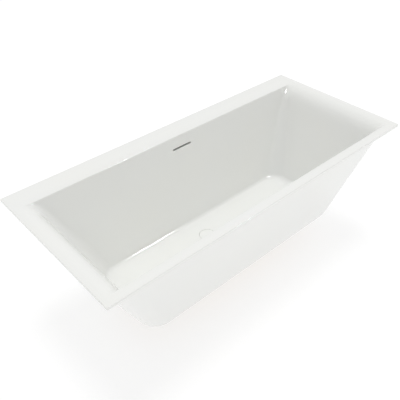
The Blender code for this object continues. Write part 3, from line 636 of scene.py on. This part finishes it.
def outer_rings(sizes):
    """The underside, the outer walls and the rim, from the waste hole up."""
    base = RIM - sizes.base_depth
    roof = base + BOARD_POCKET
    near, far = outer_sides(sizes, sizes.base_depth)
    rings = [round_ring(WASTE_HOLE, roof), round_ring(WASTE_HOLE + 0.020, roof)]
    for extra, height in ((0.0, roof), (0.0, base + 0.0015), (-0.0004, base + 0.0004),
                          (-0.0015, base)):
        inset = BOARD_INSET + extra
        rings.append(plan_ring(OUTER_END - inset, near + inset, far - inset, CORNER_BASE - inset,
                               height, height))
    side_arc = outward_arc(OUTER_SIDE_SLOPE, BASE_ROUND, 9)
    end_arc = outward_arc(OUTER_END_SLOPE, BASE_ROUND, 9)
    for (side_in, side_rise), (end_in, end_rise) in zip(side_arc, end_arc):
        rings.append(plan_ring(OUTER_END - end_in, near + side_in, far - side_in,
                               CORNER_BASE - side_in, base + side_rise, base + end_rise))
    drop = sizes.base_depth - sizes.rim_thickness
    for depth in (0.430, 0.380, 0.330, 0.280, 0.230, 0.180, 0.130, 0.090, 0.060, 0.040, 0.026,
                  0.018):
        share = (sizes.base_depth - depth) / drop
        near, far = outer_sides(sizes, depth)
        end_x = OUTER_END + OUTER_END_SLOPE * (sizes.base_depth - depth)
        radius = CORNER_BASE + (CORNER_TOP - CORNER_BASE) * share
        rings.append(plan_ring(end_x, near, far, radius, RIM - depth, RIM - depth))
    near, far = outer_sides(sizes, sizes.rim_thickness)
    end_x = OUTER_END + OUTER_END_SLOPE * drop
    for out, fall in ((0.0006, 0.0030), (0.0020, 0.0010), (0.0045, 0.0)):
        height = RIM - sizes.rim_thickness - fall
        rings.append(plan_ring(end_x + out, near - out, far + out, CORNER_TOP + out,
                               height, height))
    under = sizes.rim_thickness
    for inset, depth in ((0.0022, under), (0.0004, under - 0.0005), (0.0, under - 0.0018),
                         (0.0, 0.0015), (0.0002, 0.0007), (0.0007, 0.0002), (0.0015, 0.0)):
        rings.append(plan_ring(HALF_X - inset, -HALF_Y + inset, HALF_Y - inset,
                               RIM_CORNER - inset, RIM - depth, RIM - depth))
    return rings


def wall_frame(sizes):
    """Frame on the far wall's outer face at the slot: X along, Y outward, Z up the wall."""
    far = outer_sides(sizes, SLOT_DEPTH)[1]
    tilt = Matrix.Rotation(-math.atan(OUTER_SIDE_SLOPE), 4, "X")
    return Matrix.Translation((0.0, far, RIM - SLOT_DEPTH)) @ tilt


def through_wall(sizes):
    """The same frame turned so that its Z points outward through the wall."""
    return wall_frame(sizes) @ Matrix.Rotation(-QUARTER_TURN, 4, "X")


def slot_tool(length, height, low, high, matrix):
    """A cutter with round ends: a round bar pulled apart at its middle."""
    deselect()
    bpy.ops.mesh.primitive_cylinder_add(vertices=48, radius=height / 2, depth=high - low)
    tool = bpy.context.object
    reach = (length - height) / 2
    for point in tool.data.vertices:
        point.co.z += (low + high) / 2
        if abs(point.co.x) > MERGE:
            point.co.x += math.copysign(reach, point.co.x)
    place_in_mesh(tool, matrix)
    return tool


def break_edges(piece, low, high, width, segments=2):
    """Round the sharp edges that lie inside a box."""
    edit(piece)
    bpy.ops.mesh.select_mode(type="EDGE")
    bpy.ops.mesh.select_all(action="DESELECT")
    bpy.ops.mesh.edges_select_sharp(sharpness=SHARP_ANGLE)
    leave()
    points = [point.co.copy() for point in piece.data.vertices]
    inside = [all(a <= value <= b for a, value, b in zip(low, point, high)) for point in points]
    for line in piece.data.edges:
        line.select = line.select and all(inside[index] for index in line.vertices)
    select_only(piece)
    bpy.ops.object.mode_set(mode="EDIT")
    bpy.ops.mesh.bevel(offset=width, segments=segments, affect="EDGES", clamp_overlap=True)
    leave()


class BATH_OT_shell(bpy.types.Operator):
    """Lay the one-piece shell and cut its overflow slot"""

    bl_idname = "bath.shell"
    bl_label = "Shell"

    def execute(self, context):
        sizes = context.scene.bath_sizes
        shell = lay_rings("bath_shell", well_rings(sizes) + outer_rings(sizes), True)
        place = through_wall(sizes)
        cut(shell, slot_tool(SLOT_LENGTH, SLOT_HEIGHT, -0.030, 0.010, place))
        for side in (-1, 1):
            hole = turn_outline("ear_hole", [(EAR_HOLE, -0.009), (EAR_HOLE, 0.005)], 16,
                                place @ Matrix.Translation((side * EAR_X, 0, 0)))
            cut(shell, hole)
        middle = place.translation
        reach = Vector((SLOT_LENGTH / 2 + 0.004, 0.030, 0.012))
        break_edges(shell, middle - reach, middle + reach, SLOT_EDGE)
        hand_over(shell, "bath", "bath_white", "tub_shell", angle=32.0)
        return {"FINISHED"}


# ---------------------------------------------------------------- waste
class BATH_OT_waste(bpy.types.Operator):
    """Model the round lid of the waste"""

    bl_idname = "bath.waste"
    bl_label = "Waste"

    def execute(self, context):
        low, high = COVER_LOW, COVER_HIGH
        radius = (high.x - low.x) / 2
        edge = 0.0009
        outline = [(radius - edge, low.z), (radius - 0.0002, low.z + 0.0003),
                   (radius, low.z + 0.0007)]
        for step in range(7):
            turn = QUARTER_TURN * step / 6
            outline.append((radius - edge + edge * math.cos(turn),
                            high.z - 0.00095 + edge * math.sin(turn)))
        outline += [(radius * 0.60, high.z), (radius * 0.02, high.z)]
        lid = turn_outline("waste_lid_disc", outline, 96,
                           Matrix.Translation((WASTE_X, WASTE_Y, 0)))
        hand_over(lid, "waste_lid", "bath_white", "waste_cover", angle=40.0)
        return {"FINISHED"}


# ---------------------------------------------------------------- supports
SIDES = ("left", "right")
ROWS = ("near", "far")
NUTS = ("rail_nut", "lock_nut")
NUT_FLATS = 0.017
NUT_BORE = 0.0052
THREAD_DEPTH = 0.0009
SCREW_HEAD = 0.0030
SCREW_HEAD_RADIUS = 0.0048
SCREW_CREST = 0.0020
SCREW_ROOT = 0.00165
SCREW_PITCH = 0.0012
RAIL_GAUGE = 0.002
RAIL_BEND = 0.0024
HALF_TROUGH = 0.017
SCREW_PASS = 0.0026         # radius of the holes in the rails
ROD_PASS = 0.0056
RAIL_SCREWS = range(1, 9)


def thread_rings(low, high, radius, depth, pitch, columns=20):
    """Rings of a screw thread, whose crest climbs one pitch a turn, with its ends chamfered."""
    rings = []
    rows = int((high - low) / pitch * 4)
    for row in range(rows + 1):
        height = low + (high - low) * row / rows
        edge = min(height - low, high - height)
        limit = radius - max(0.0, 0.0012 - edge) * 0.8
        phases = [(height / pitch - column / columns) % 1.0 for column in range(columns)]
        rings.append(shaped_ring(
            [min(limit, radius - depth * abs(2 * phase - 1)) for phase in phases], height))
    return rings


def nut_rings(low, high, flats, bore, columns=48):
    """Rings of a hexagon nut with chamfered corners, from its bore round to its bore."""
    rings = [shaped_ring([bore] * columns, height) for height in (high, low)]
    sixth = math.pi / 3
    to_flat = [(turn + sixth / 2) % sixth - sixth / 2 for turn in turns_round(columns)]
    chamfer = ((0.0, 0.95), (0.0002, 0.975), (0.0005, 1.02), (0.0009, 1.08), (0.0014, 1.16))
    levels = [(low + rise, share) for rise, share in chamfer]
    levels += [(high - rise, share) for rise, share in reversed(chamfer)]
    for height, share in levels:
        rings.append(shaped_ring(
            [flats / 2 * min(1 / math.cos(turn), share) for turn in to_flat], height))
    return rings


def cross_recess(place, depth, reach, width):
    """Two tapered blades that sink a cross into a screw head below the place."""
    blades = []
    for turn in (0.0, QUARTER_TURN):
        blade = add_block("recess_blade", (-reach, -width / 2, -depth), (reach, width / 2, depth))
        for point in blade.data.vertices:
            if point.co.z > 0:
                point.co.x *= 0.35
        place_in_mesh(blade, place @ Matrix.Rotation(turn, 4, "Z"))
        blades.append(blade)
    return blades


def pan_screw(name, length):
    """A pan-head screw whose seat is at its origin: head below, shank above."""
    outline = []
    for step in range(9):
        turn = QUARTER_TURN * step / 8
        outline.append((max(SCREW_HEAD_RADIUS * math.sin(turn), 0.0004),
                        -SCREW_HEAD * math.cos(turn) ** 0.7))
    outline.append((SCREW_CREST, 0.0))
    for step in range(int((length - 0.002) / SCREW_PITCH)):
        rise = 0.0004 + SCREW_PITCH * step
        outline += [(SCREW_ROOT, rise), (SCREW_CREST, rise + 0.0005)]
    outline.append((0.0003, length))
    screw = turn_outline(name, outline, 32)
    for blade in cross_recess(Matrix.Translation((0, 0, -SCREW_HEAD)), 0.0017, 0.0022, 0.0007):
        cut(screw, blade)
    return screw


def arc(centre_x, centre_z, radius, start, stop):
    """Five points of an arc between two angles in degrees."""
    turns = [math.radians(start + (stop - start) * step / 4) for step in range(5)]
    return [(centre_x + radius * math.cos(turn), centre_z + radius * math.sin(turn))
            for turn in turns]


def rail_section(half_brim, top, floor):
    """Closed outline of a pressed rail with round bends, seen along the rail."""
    outer = RAIL_BEND + RAIL_GAUGE
    brim_x, trough_x = HALF_TROUGH + RAIL_BEND, HALF_TROUGH - outer
    under = [(half_brim, top), (half_brim, top - RAIL_GAUGE)]
    under += arc(brim_x, top - outer, RAIL_BEND, 90, 180)
    under += arc(trough_x, floor + outer, outer, 0, -90)
    over = arc(trough_x, floor + outer, RAIL_BEND, -90, 0)
    over += arc(brim_x, top - outer, outer, 180, 90)
    return (under + [(-x, z) for x, z in under[::-1]]
            + [(-x, z) for x, z in over[::-1]] + over)


def press_rail(name, node):
    """A hat-section rail pressed from sheet."""
    low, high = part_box(node)
    section = rail_section((high.x - low.x) / 2, high.z, low.z)
    deselect()
    bpy.ops.mesh.primitive_circle_add(vertices=len(section), radius=0.05, fill_type="NGON")
    rail = bpy.context.object
    for point, (x, z) in zip(rail.data.vertices, section):
        point.co = Vector((x, low.y, z))
    edit(rail)
    bpy.ops.mesh.extrude_region_move(
        TRANSFORM_OT_translate={"value": (0.0, high.y - low.y, 0.0)})
    face_outward()
    leave()
    place_in_mesh(rail, Matrix.Translation(((low.x + high.x) / 2, 0, 0)))
    name_piece(rail, name)
    return rail


def drill(piece, x, y, low, high, radius, steps=24):
    """One upright hole."""
    cut(piece, turn_outline("drill", [(radius, low), (radius, high)], steps,
                            Matrix.Translation((x, y, 0))))


class BATH_OT_supports(bpy.types.Operator):
    """Model the rails, their screws, the nuts, the threaded rods and the rubber pads"""

    bl_idname = "bath.supports"
    bl_label = "Supports"

    def execute(self, context):
        for side in SIDES:
            self.rail(side)
        self.screws()
        models = self.foot_models("near_left", context.scene.bath_sizes)
        for row in ROWS:
            for side in SIDES:
                self.foot(f"{row}_{side}", models)
        for model in models.values():
            bpy.data.objects.remove(model)
        refine_node("base_board", "ply_board", "plywood", 0.0006, 1, 40.0)
        return {"FINISHED"}

    def rail(self, side):
        """Press one rail and drill it for its screws and its feet."""
        node = f"foot_rail_{side}"
        rail = press_rail(f"pressed_rail_{side}", node)
        low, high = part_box(node)
        for number in RAIL_SCREWS:
            spot = centre_of(f"rail_screw_{number}")
            if low.x < spot.x < high.x:
                drill(rail, spot.x, spot.y, high.z - 0.006, high.z + 0.004, SCREW_PASS, 16)
        for row in ROWS:
            spot = centre_of(f"foot_rod_{row}_{side}")
            drill(rail, spot.x, spot.y, low.z - 0.004, low.z + 0.006, ROD_PASS)
        hand_over(rail, "bath", "galvanised", node)

    def screws(self):
        """Copy one screw to every hole of the rails."""
        low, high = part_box("rail_screw_1")
        seat = low.z + SCREW_HEAD
        model = pan_screw("screw_model", high.z - low.z - SCREW_HEAD)
        for number in RAIL_SCREWS:
            node = f"rail_screw_{number}"
            spot = centre_of(node)
            screw = copy_piece(model, f"pan_screw_{number}",
                               Matrix.Translation((spot.x, spot.y, seat)))
            hand_over(screw, "bath", "zinc_plated", node)
        bpy.data.objects.remove(model)

    def foot_models(self, label, sizes):
        """The rod, pad and nuts of a foot, standing at the origin."""
        low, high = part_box(f"foot_rod_{label}")
        pad_low, pad_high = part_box(f"foot_pad_{label}")
        thread = thread_rings(low.z, high.z, (high.x - low.x) / 2, THREAD_DEPTH,
                              sizes.thread_pitch)
        models = {"rod": lay_rings("rod_model", thread, False, True),
                  "pad": self.pad((pad_high.x - pad_low.x) / 2, pad_high.z)}
        for kind in NUTS:
            low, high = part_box(f"{kind}_{label}")
            models[kind] = lay_rings(
                f"{kind}_model", nut_rings(low.z, high.z, NUT_FLATS, NUT_BORE), True)
        return models

    def foot(self, label, models):
        """Copy the models to one foot's place."""
        body = f"foot_{label}"
        spot = centre_of(f"foot_rod_{label}")
        move = Matrix.Translation((spot.x, spot.y, 0))
        rod = copy_piece(models["rod"], f"threaded_rod_{label}", move)
        hand_over(rod, body, "galvanised", f"foot_rod_{label}", angle=50.0)
        pad = copy_piece(models["pad"], f"rubber_pad_{label}", move)
        hand_over(pad, body, "rubber", f"foot_pad_{label}", angle=35.0)
        for kind in NUTS:
            nut = copy_piece(models[kind], f"hex_{kind}_{label}", move)
            hand_over(nut, "bath", "zinc_plated", f"{kind}_{label}", angle=25.0)

    def pad(self, radius, top):
        """Pad with a grooved sole, a round flange and a collar round the rod."""
        deep = 0.0008
        outline = [(0.0040, deep), (0.0060, deep), (0.0066, 0.0)]
        for groove in (0.0095, 0.0135, 0.0175):
            outline += [(groove, 0.0), (groove + 0.0004, deep), (groove + 0.0016, deep),
                        (groove + 0.0020, 0.0)]
        outline += [(radius - 0.0015, 0.0), (radius - 0.0005, 0.0004), (radius, 0.0015),
                    (radius, 0.0058), (radius - 0.0004, 0.0067), (radius - 0.0014, 0.0073)]
        outline += [(0.0165, 0.0090), (0.0140, 0.0102), (0.0122, 0.0122),
                    (0.0113, top - 0.0014), (0.0109, top - 0.0004), (0.0102, top), (0.0060, top),
                    (0.0053, top - 0.0008), (0.0053, 0.0080), (0.0010, 0.0080)]
        return turn_outline("pad_model", outline, 64)


# ---------------------------------------------------------------- hose and overflow
SPIGOT_OUT = 0.0168
HOSE_RADIUS = 0.0148
HOSE_BORE = 0.0131
ENTRY_DEPTH = 0.5110
ENTRY_REACH = 0.062
HOSE_RIBS = (0.0, 0.0006, 0.0012, 0.0006)
HOSE_CUFF = 0.024
EAR_SCREW_LENGTH = 0.0132
EAR_SEAT = 0.0059           # outer face of the ears, out from the wall
TRAP_NUT_BORE = 0.0403
TRAP_LIP_BORE = 0.0326
TRAP_LIP = 0.0030
OUTLET_NUT_BORE = 0.0203
NUT_RIB = (0.0, 0.0, 0.0, 0.0009, 0.0012, 0.0009)


def hose_route(sizes):
    """Centre line of the overflow hose, with a point every millimetre or so."""
    place = wall_frame(sizes)
    start = place @ Vector((0, SPIGOT_OUT, -0.0200))
    straight = place @ Vector((0, SPIGOT_OUT, -0.0600))
    low = place @ Vector((WASTE_X, SPIGOT_OUT + 0.006, -0.3980))
    entry = Vector((WASTE_X, WASTE_Y + ENTRY_REACH + 0.016, RIM - ENTRY_DEPTH))
    end = Vector((WASTE_X, WASTE_Y + ENTRY_REACH - 0.0200, RIM - ENTRY_DEPTH))
    fall = (place.to_3x3() @ Vector((0, 0, -1))).normalized()
    first = (straight, straight + fall * 0.13, low - fall * 0.13, low)
    second = (low, low + fall * 0.052, entry + Vector((0, 0.052, 0)), entry)
    points = [start]
    for knots in (first, second):
        for step in range(81):
            t = step / 80
            rest = 1 - t
            points.append(knots[0] * rest ** 3 + knots[1] * 3 * t * rest ** 2
                          + knots[2] * 3 * t ** 2 * rest + knots[3] * t ** 3)
    points.append(end)
    return points


def even_points(points, spacing):
    """The same line with points an even distance apart."""
    lengths = [0.0]
    for a, b in zip(points, points[1:]):
        lengths.append(lengths[-1] + (b - a).length)
    count = max(2, round(lengths[-1] / spacing))
    made, index = [], 0
    for step in range(count + 1):
        want = lengths[-1] * step / count
        while index < len(lengths) - 2 and lengths[index + 1] < want:
            index += 1
        span = lengths[index + 1] - lengths[index]
        share = (want - lengths[index]) / span if span > 1e-9 else 0.0
        made.append(points[index].lerp(points[index + 1], min(1.0, share)))
    return made


def hose_ring(point, radius, across, third, columns=24):
    """A circle about one point of the hose's line."""
    return [point + radius * (math.cos(turn) * across + math.sin(turn) * third)
            for turn in turns_round(columns)]


def hose_rings(sizes):
    """Ribbed outside and plain bore of the hose, with plain cuffs at both ends."""
    pitch = sizes.hose_pitch
    route = even_points(hose_route(sizes), pitch / 4)
    outside, inside = [], []
    last = len(route) - 1
    for index, point in enumerate(route):
        along = (route[min(index + 1, last)] - route[max(index - 1, 0)]).normalized()
        across = Vector((1, 0, 0)) - along * along.x
        across.normalize()
        third = along.cross(across)
        reach = min(index, last - index) * pitch / 4
        rib = HOSE_RIBS[index % 4] if reach > HOSE_CUFF else 0.0
        outside.append(hose_ring(point, HOSE_RADIUS - rib, across, third))
        if index % 6 == 0 or index == last:
            inside.append(hose_ring(point, HOSE_BORE, across, third))
    return outside + inside[::-1]


def band_clamp(name, place):
    """A worm-drive clamp: slotted band, housing and screw, with the hose along its Z."""
    inner = HOSE_RADIUS + 0.0003
    outer = inner + 0.0009
    half = 0.0045
    band = turn_outline(name, [(inner, -half), (outer - 0.0002, -half), (outer, -0.0043),
                               (outer, 0.0043), (outer - 0.0002, half), (inner, half),
                               (inner, -half)], 72)
    for step in range(16):
        slot = add_block("slot_tool", (inner + 0.0004, -0.00035, -0.0026),
                         (outer + 0.002, 0.00035, 0.0026))
        place_in_mesh(slot, Matrix.Rotation(math.radians(35 + step * 4.4), 4, "Z"))
        cut(band, slot)
    housing = add_block("clamp_housing", (outer - 0.0004, -0.0055, -0.0050),
                        (outer + 0.0060, 0.0055, 0.0050))
    apply_change(housing, "BEVEL", width=0.0012, segments=3)
    cut(band, housing, "UNION")
    across = (Matrix.Translation((outer + 0.0030, 0, 0))
              @ Matrix.Rotation(QUARTER_TURN, 4, "X"))
    head = turn_outline("clamp_screw_head", [
        (0.0030, -0.0105), (0.0034, -0.0101), (0.0034, -0.0066), (0.0026, -0.0062),
        (0.0026, -0.0040)], 24, across)
    cut(band, head, "UNION")
    notch = add_block("notch_tool", (-0.0040, -0.0004, -0.0112), (0.0040, 0.0004, -0.0092))
    place_in_mesh(notch, across)
    cut(band, notch)
    place_in_mesh(band, place)
    return band


def union_nut_rings(low, high, bore, radius, ribs):
    """A moulded union nut with grip ribs between two plain shoulders."""
    shape = ((bore, low, 0), (radius - 0.0018, low, 0), (radius - 0.0010, low + 0.0008, 0),
             (radius - 0.0010, low + 0.0020, 0), (radius, low + 0.0030, 1),
             (radius, high - 0.0030, 1), (radius - 0.0010, high - 0.0020, 0),
             (radius - 0.0010, high - 0.0008, 0), (radius - 0.0018, high, 0), (bore, high, 0))
    return [shaped_ring([reach - ribbed * dip for dip in NUT_RIB] * ribs, height)
            for reach, height, ribbed in shape]


class BATH_OT_overflow(bpy.types.Operator):
    """Model the overflow head, its screws, the ribbed hose and its clamps"""

    bl_idname = "bath.overflow"
    bl_label = "Overflow"

    def execute(self, context):
        sizes = context.scene.bath_sizes
        refine_node("overflow_head", "overflow_box", "black_plastic", 0.0010)
        hose = lay_rings("ribbed_hose", hose_rings(sizes), True)
        hand_over(hose, "bath", "grey_hose", "overflow_hose", angle=60.0)
        top = wall_frame(sizes) @ Matrix.Translation((0, SPIGOT_OUT, -0.0310))
        entry = (WASTE_X, WASTE_Y + ENTRY_REACH - 0.0100, RIM - ENTRY_DEPTH)
        lower = Matrix.Translation(entry) @ Matrix.Rotation(QUARTER_TURN, 4, "X")
        aside = Matrix.Rotation(QUARTER_TURN, 4, "Z")
        for label, place in (("top", top), ("bottom", lower)):
            clamp = band_clamp(f"worm_clamp_{label}", place @ aside)
            hand_over(clamp, "bath", "zinc_plated", f"hose_clamp_{label}")
        model = pan_screw("ear_screw_model", EAR_SCREW_LENGTH)
        for side, sign in zip(SIDES, (-1, 1)):
            seat = through_wall(sizes) @ Matrix.Translation((sign * EAR_X, 0, EAR_SEAT))
            screw = copy_piece(model, f"ear_screw_{side}", seat @ Matrix.Rotation(math.pi, 4, "X"))
            hand_over(screw, "bath", "zinc_plated", f"overflow_screw_{side}")
        bpy.data.objects.remove(model)
        return {"FINISHED"}


class BATH_OT_trap(bpy.types.Operator):
    """Model the trap, the waste's cup and their ribbed union nuts"""

    bl_idname = "bath.trap"
    bl_label = "Trap"

    def execute(self, context):
        low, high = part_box("trap_nut")
        rings = union_nut_rings(low.z, high.z, TRAP_NUT_BORE, (high.x - low.x) / 2, 28)
        count = len(rings[0])
        ledge = high.z - TRAP_LIP
        lip = [shaped_ring([TRAP_LIP_BORE] * count, height) for height in (high.z, ledge)]
        lip.append(shaped_ring([TRAP_NUT_BORE] * count, ledge))
        nut = lay_rings("trap_union_nut", rings[:-1] + lip, True)
        place_in_mesh(nut, Matrix.Translation((WASTE_X, WASTE_Y, 0)))
        hand_over(nut, "bath", "black_plastic", "trap_nut", angle=35.0)
        low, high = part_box("outlet_nut")
        half = (high.x - low.x) / 2
        rings = union_nut_rings(-half, half, OUTLET_NUT_BORE, (high.y - low.y) / 2, 20)
        nut = lay_rings("outlet_union_nut", rings, True)
        place_in_mesh(nut, Matrix.Translation((low + high) / 2)
                      @ Matrix.Rotation(QUARTER_TURN, 4, "Y"))
        hand_over(nut, "bath", "black_plastic", "outlet_nut", angle=35.0)
        refine_node("trap_cup", "trap_bowl", "white_plastic", 0.0008)
        refine_node("waste_body", "waste_cup", "black_plastic", 0.0006)
        return {"FINISHED"}


# ---------------------------------------------------------------- stage
CAMERA_PLACE = (-1.35507, -1.36701, 1.288376)      # from the middle of the rim's top
CAMERA_BACK = (-0.5266346, -0.5799942, 0.6215004)
CAMERA_LENS = 46.996
CAMERA_SENSOR = 36.0
FLOOR_SPAN = 40.0
FLOOR_GLOW = 0.70
SKY_LOW, SKY_HIGH = 0.56, 0.75                     # light from -X and from +X
WHITE = (1.0, 1.0, 1.0, 1.0)


def point_back(thing, direction):
    """Turn a light or a camera so that its back faces a direction."""
    thing.rotation_mode = "QUATERNION"
    thing.rotation_quaternion = Vector(direction).to_track_quat("Z", "Y")


def add_light(name, place, target, size, energy, gloss_only=False):
    """One rectangular softbox aimed at a point, which may show in the gloss alone."""
    bpy.ops.object.light_add(type="AREA", location=place)
    lamp = bpy.context.object
    lamp.name = name
    point_back(lamp, Vector(place) - Vector(target))
    lamp.data.shape = "RECTANGLE"
    lamp.data.size, lamp.data.size_y = size
    lamp.data.energy = energy
    lamp.visible_diffuse = not gloss_only


def add_sun(name, direction, strength, spread):
    """A broad even light from a direction, with very soft shadows."""
    bpy.ops.object.light_add(type="SUN", location=(0, 0, 4))
    lamp = bpy.context.object
    lamp.name = name
    point_back(lamp, direction)
    lamp.data.energy = strength
    lamp.data.angle = math.radians(spread)
    lamp.visible_glossy = False


class BATH_OT_stage(bpy.types.Operator):
    """Set the pale floor, the soft light and the camera"""

    bl_idname = "bath.stage"
    bl_label = "Stage"

    def execute(self, context):
        self.lay_floor(tuple(context.scene.bath_colours.floor))
        self.light_world()
        add_sun("sky_panel", direction=(0.10, 0.12, 1.0), strength=1.03, spread=22.0)
        add_light("window_strip", place=(0.68, -1.25, 1.83), target=(0.68, 0.2, 0.17),
                  size=(0.56, 0.10), energy=32.0, gloss_only=True)
        add_light("front_fill", place=(-0.3, -3.2, 1.6), target=(0, 0, 0.4), size=(2.6, 1.4),
                  energy=1.0)
        bpy.ops.object.camera_add()
        camera = context.object
        camera.name = "camera"
        camera.location = Vector(CAMERA_PLACE) + Vector((0, 0, RIM))
        point_back(camera, CAMERA_BACK)
        camera.data.sensor_width = CAMERA_SENSOR
        camera.data.lens = CAMERA_LENS
        camera.data.clip_start = 0.05
        camera.data.clip_end = 100.0
        context.scene.camera = camera
        context.scene.view_settings.view_transform = "Standard"
        return {"FINISHED"}

    def lay_floor(self, colour):
        """A wide sheet of pale paper with a glow of its own."""
        deselect()
        bpy.ops.mesh.primitive_plane_add(size=FLOOR_SPAN, location=(0, 0, 0))
        floor = bpy.context.object
        name_piece(floor, "studio_floor")
        made, tree, shader, vector = start_finish("studio_paper")
        cloud = add_noise(tree, vector, Scale=1.5, Detail=2.0)
        tint(tree, shader, cloud, shaded(colour, 0.995), colour)
        shader.inputs["Roughness"].default_value = 0.9
        shader.inputs["Specular IOR Level"].default_value = 0.1
        shader.inputs["Emission Color"].default_value = WHITE
        shader.inputs["Emission Strength"].default_value = FLOOR_GLOW
        floor.data.materials.append(made)

    def light_world(self):
        """Even white light, a little stronger from +X."""
        world = bpy.data.worlds.new("studio_world")
        bpy.context.scene.world = world
        world.use_nodes = True
        tree = world.node_tree
        backdrop = tree.nodes["Background"]
        backdrop.inputs["Color"].default_value = WHITE
        place = add_node(tree, "ShaderNodeTexCoord")
        split = add_node(tree, "ShaderNodeSeparateXYZ")
        spread = add_node(tree, "ShaderNodeMapRange", From_Min=-1.0, From_Max=1.0,
                          To_Min=SKY_LOW, To_Max=SKY_HIGH)
        tree.links.new(place.outputs["Generated"], split.inputs["Vector"])
        tree.links.new(split.outputs["X"], spread.inputs["Value"])
        tree.links.new(spread.outputs["Result"], backdrop.inputs["Strength"])


class BATH_OT_finishes(bpy.types.Operator):
    """Give every carried-over node its finish"""

    bl_idname = "bath.finishes"
    bl_label = "Finishes"

    def execute(self, context):
        slots = {part["node"]: part["material_slot"] for part in frame["record"]["subparts"]}
        for node, piece in frame["nodes"].items():
            made = finish_for(slots[node])
            for entry in piece.material_slots:
                entry.link = "OBJECT"
                entry.material = made
        return {"FINISHED"}


class BATH_PT_pieces(bpy.types.Panel):
    """Sizes, colours and builders of the bath"""

    bl_idname = "BATH_PT_pieces"
    bl_label = "Bath"
    bl_space_type = "VIEW_3D"
    bl_region_type = "UI"
    bl_category = "Bath"

    def draw(self, context):
        layout = self.layout
        for settings in (context.scene.bath_sizes, context.scene.bath_colours):
            for name in settings.__annotations__:
                layout.prop(settings, name)
        for step in OPERATORS:
            layout.operator(step.bl_idname)


OPERATORS = (BATH_OT_finishes, BATH_OT_shell, BATH_OT_waste, BATH_OT_supports, BATH_OT_overflow,
             BATH_OT_trap, BATH_OT_stage)
CLASSES = (BathSizes, BathColours, *OPERATORS, BATH_PT_pieces)


def register():
    """Register the classes and hang the settings on the scene."""
    for entry in CLASSES:
        bpy.utils.register_class(entry)
    bpy.types.Scene.bath_sizes = bpy.props.PointerProperty(type=BathSizes)
    bpy.types.Scene.bath_colours = bpy.props.PointerProperty(type=BathColours)


def unregister():
    """Take the settings and the classes away again."""
    del bpy.types.Scene.bath_sizes
    del bpy.types.Scene.bath_colours
    for entry in reversed(CLASSES):
        bpy.utils.unregister_class(entry)


def main():
    """Build everything."""
    register()
    bpy.ops.bath.finishes()
    bpy.ops.bath.shell()
    bpy.ops.bath.waste()
    bpy.ops.bath.supports()
    bpy.ops.bath.overflow()
    bpy.ops.bath.trap()
    bpy.ops.bath.stage()


if __name__ == "__main__":
    main()
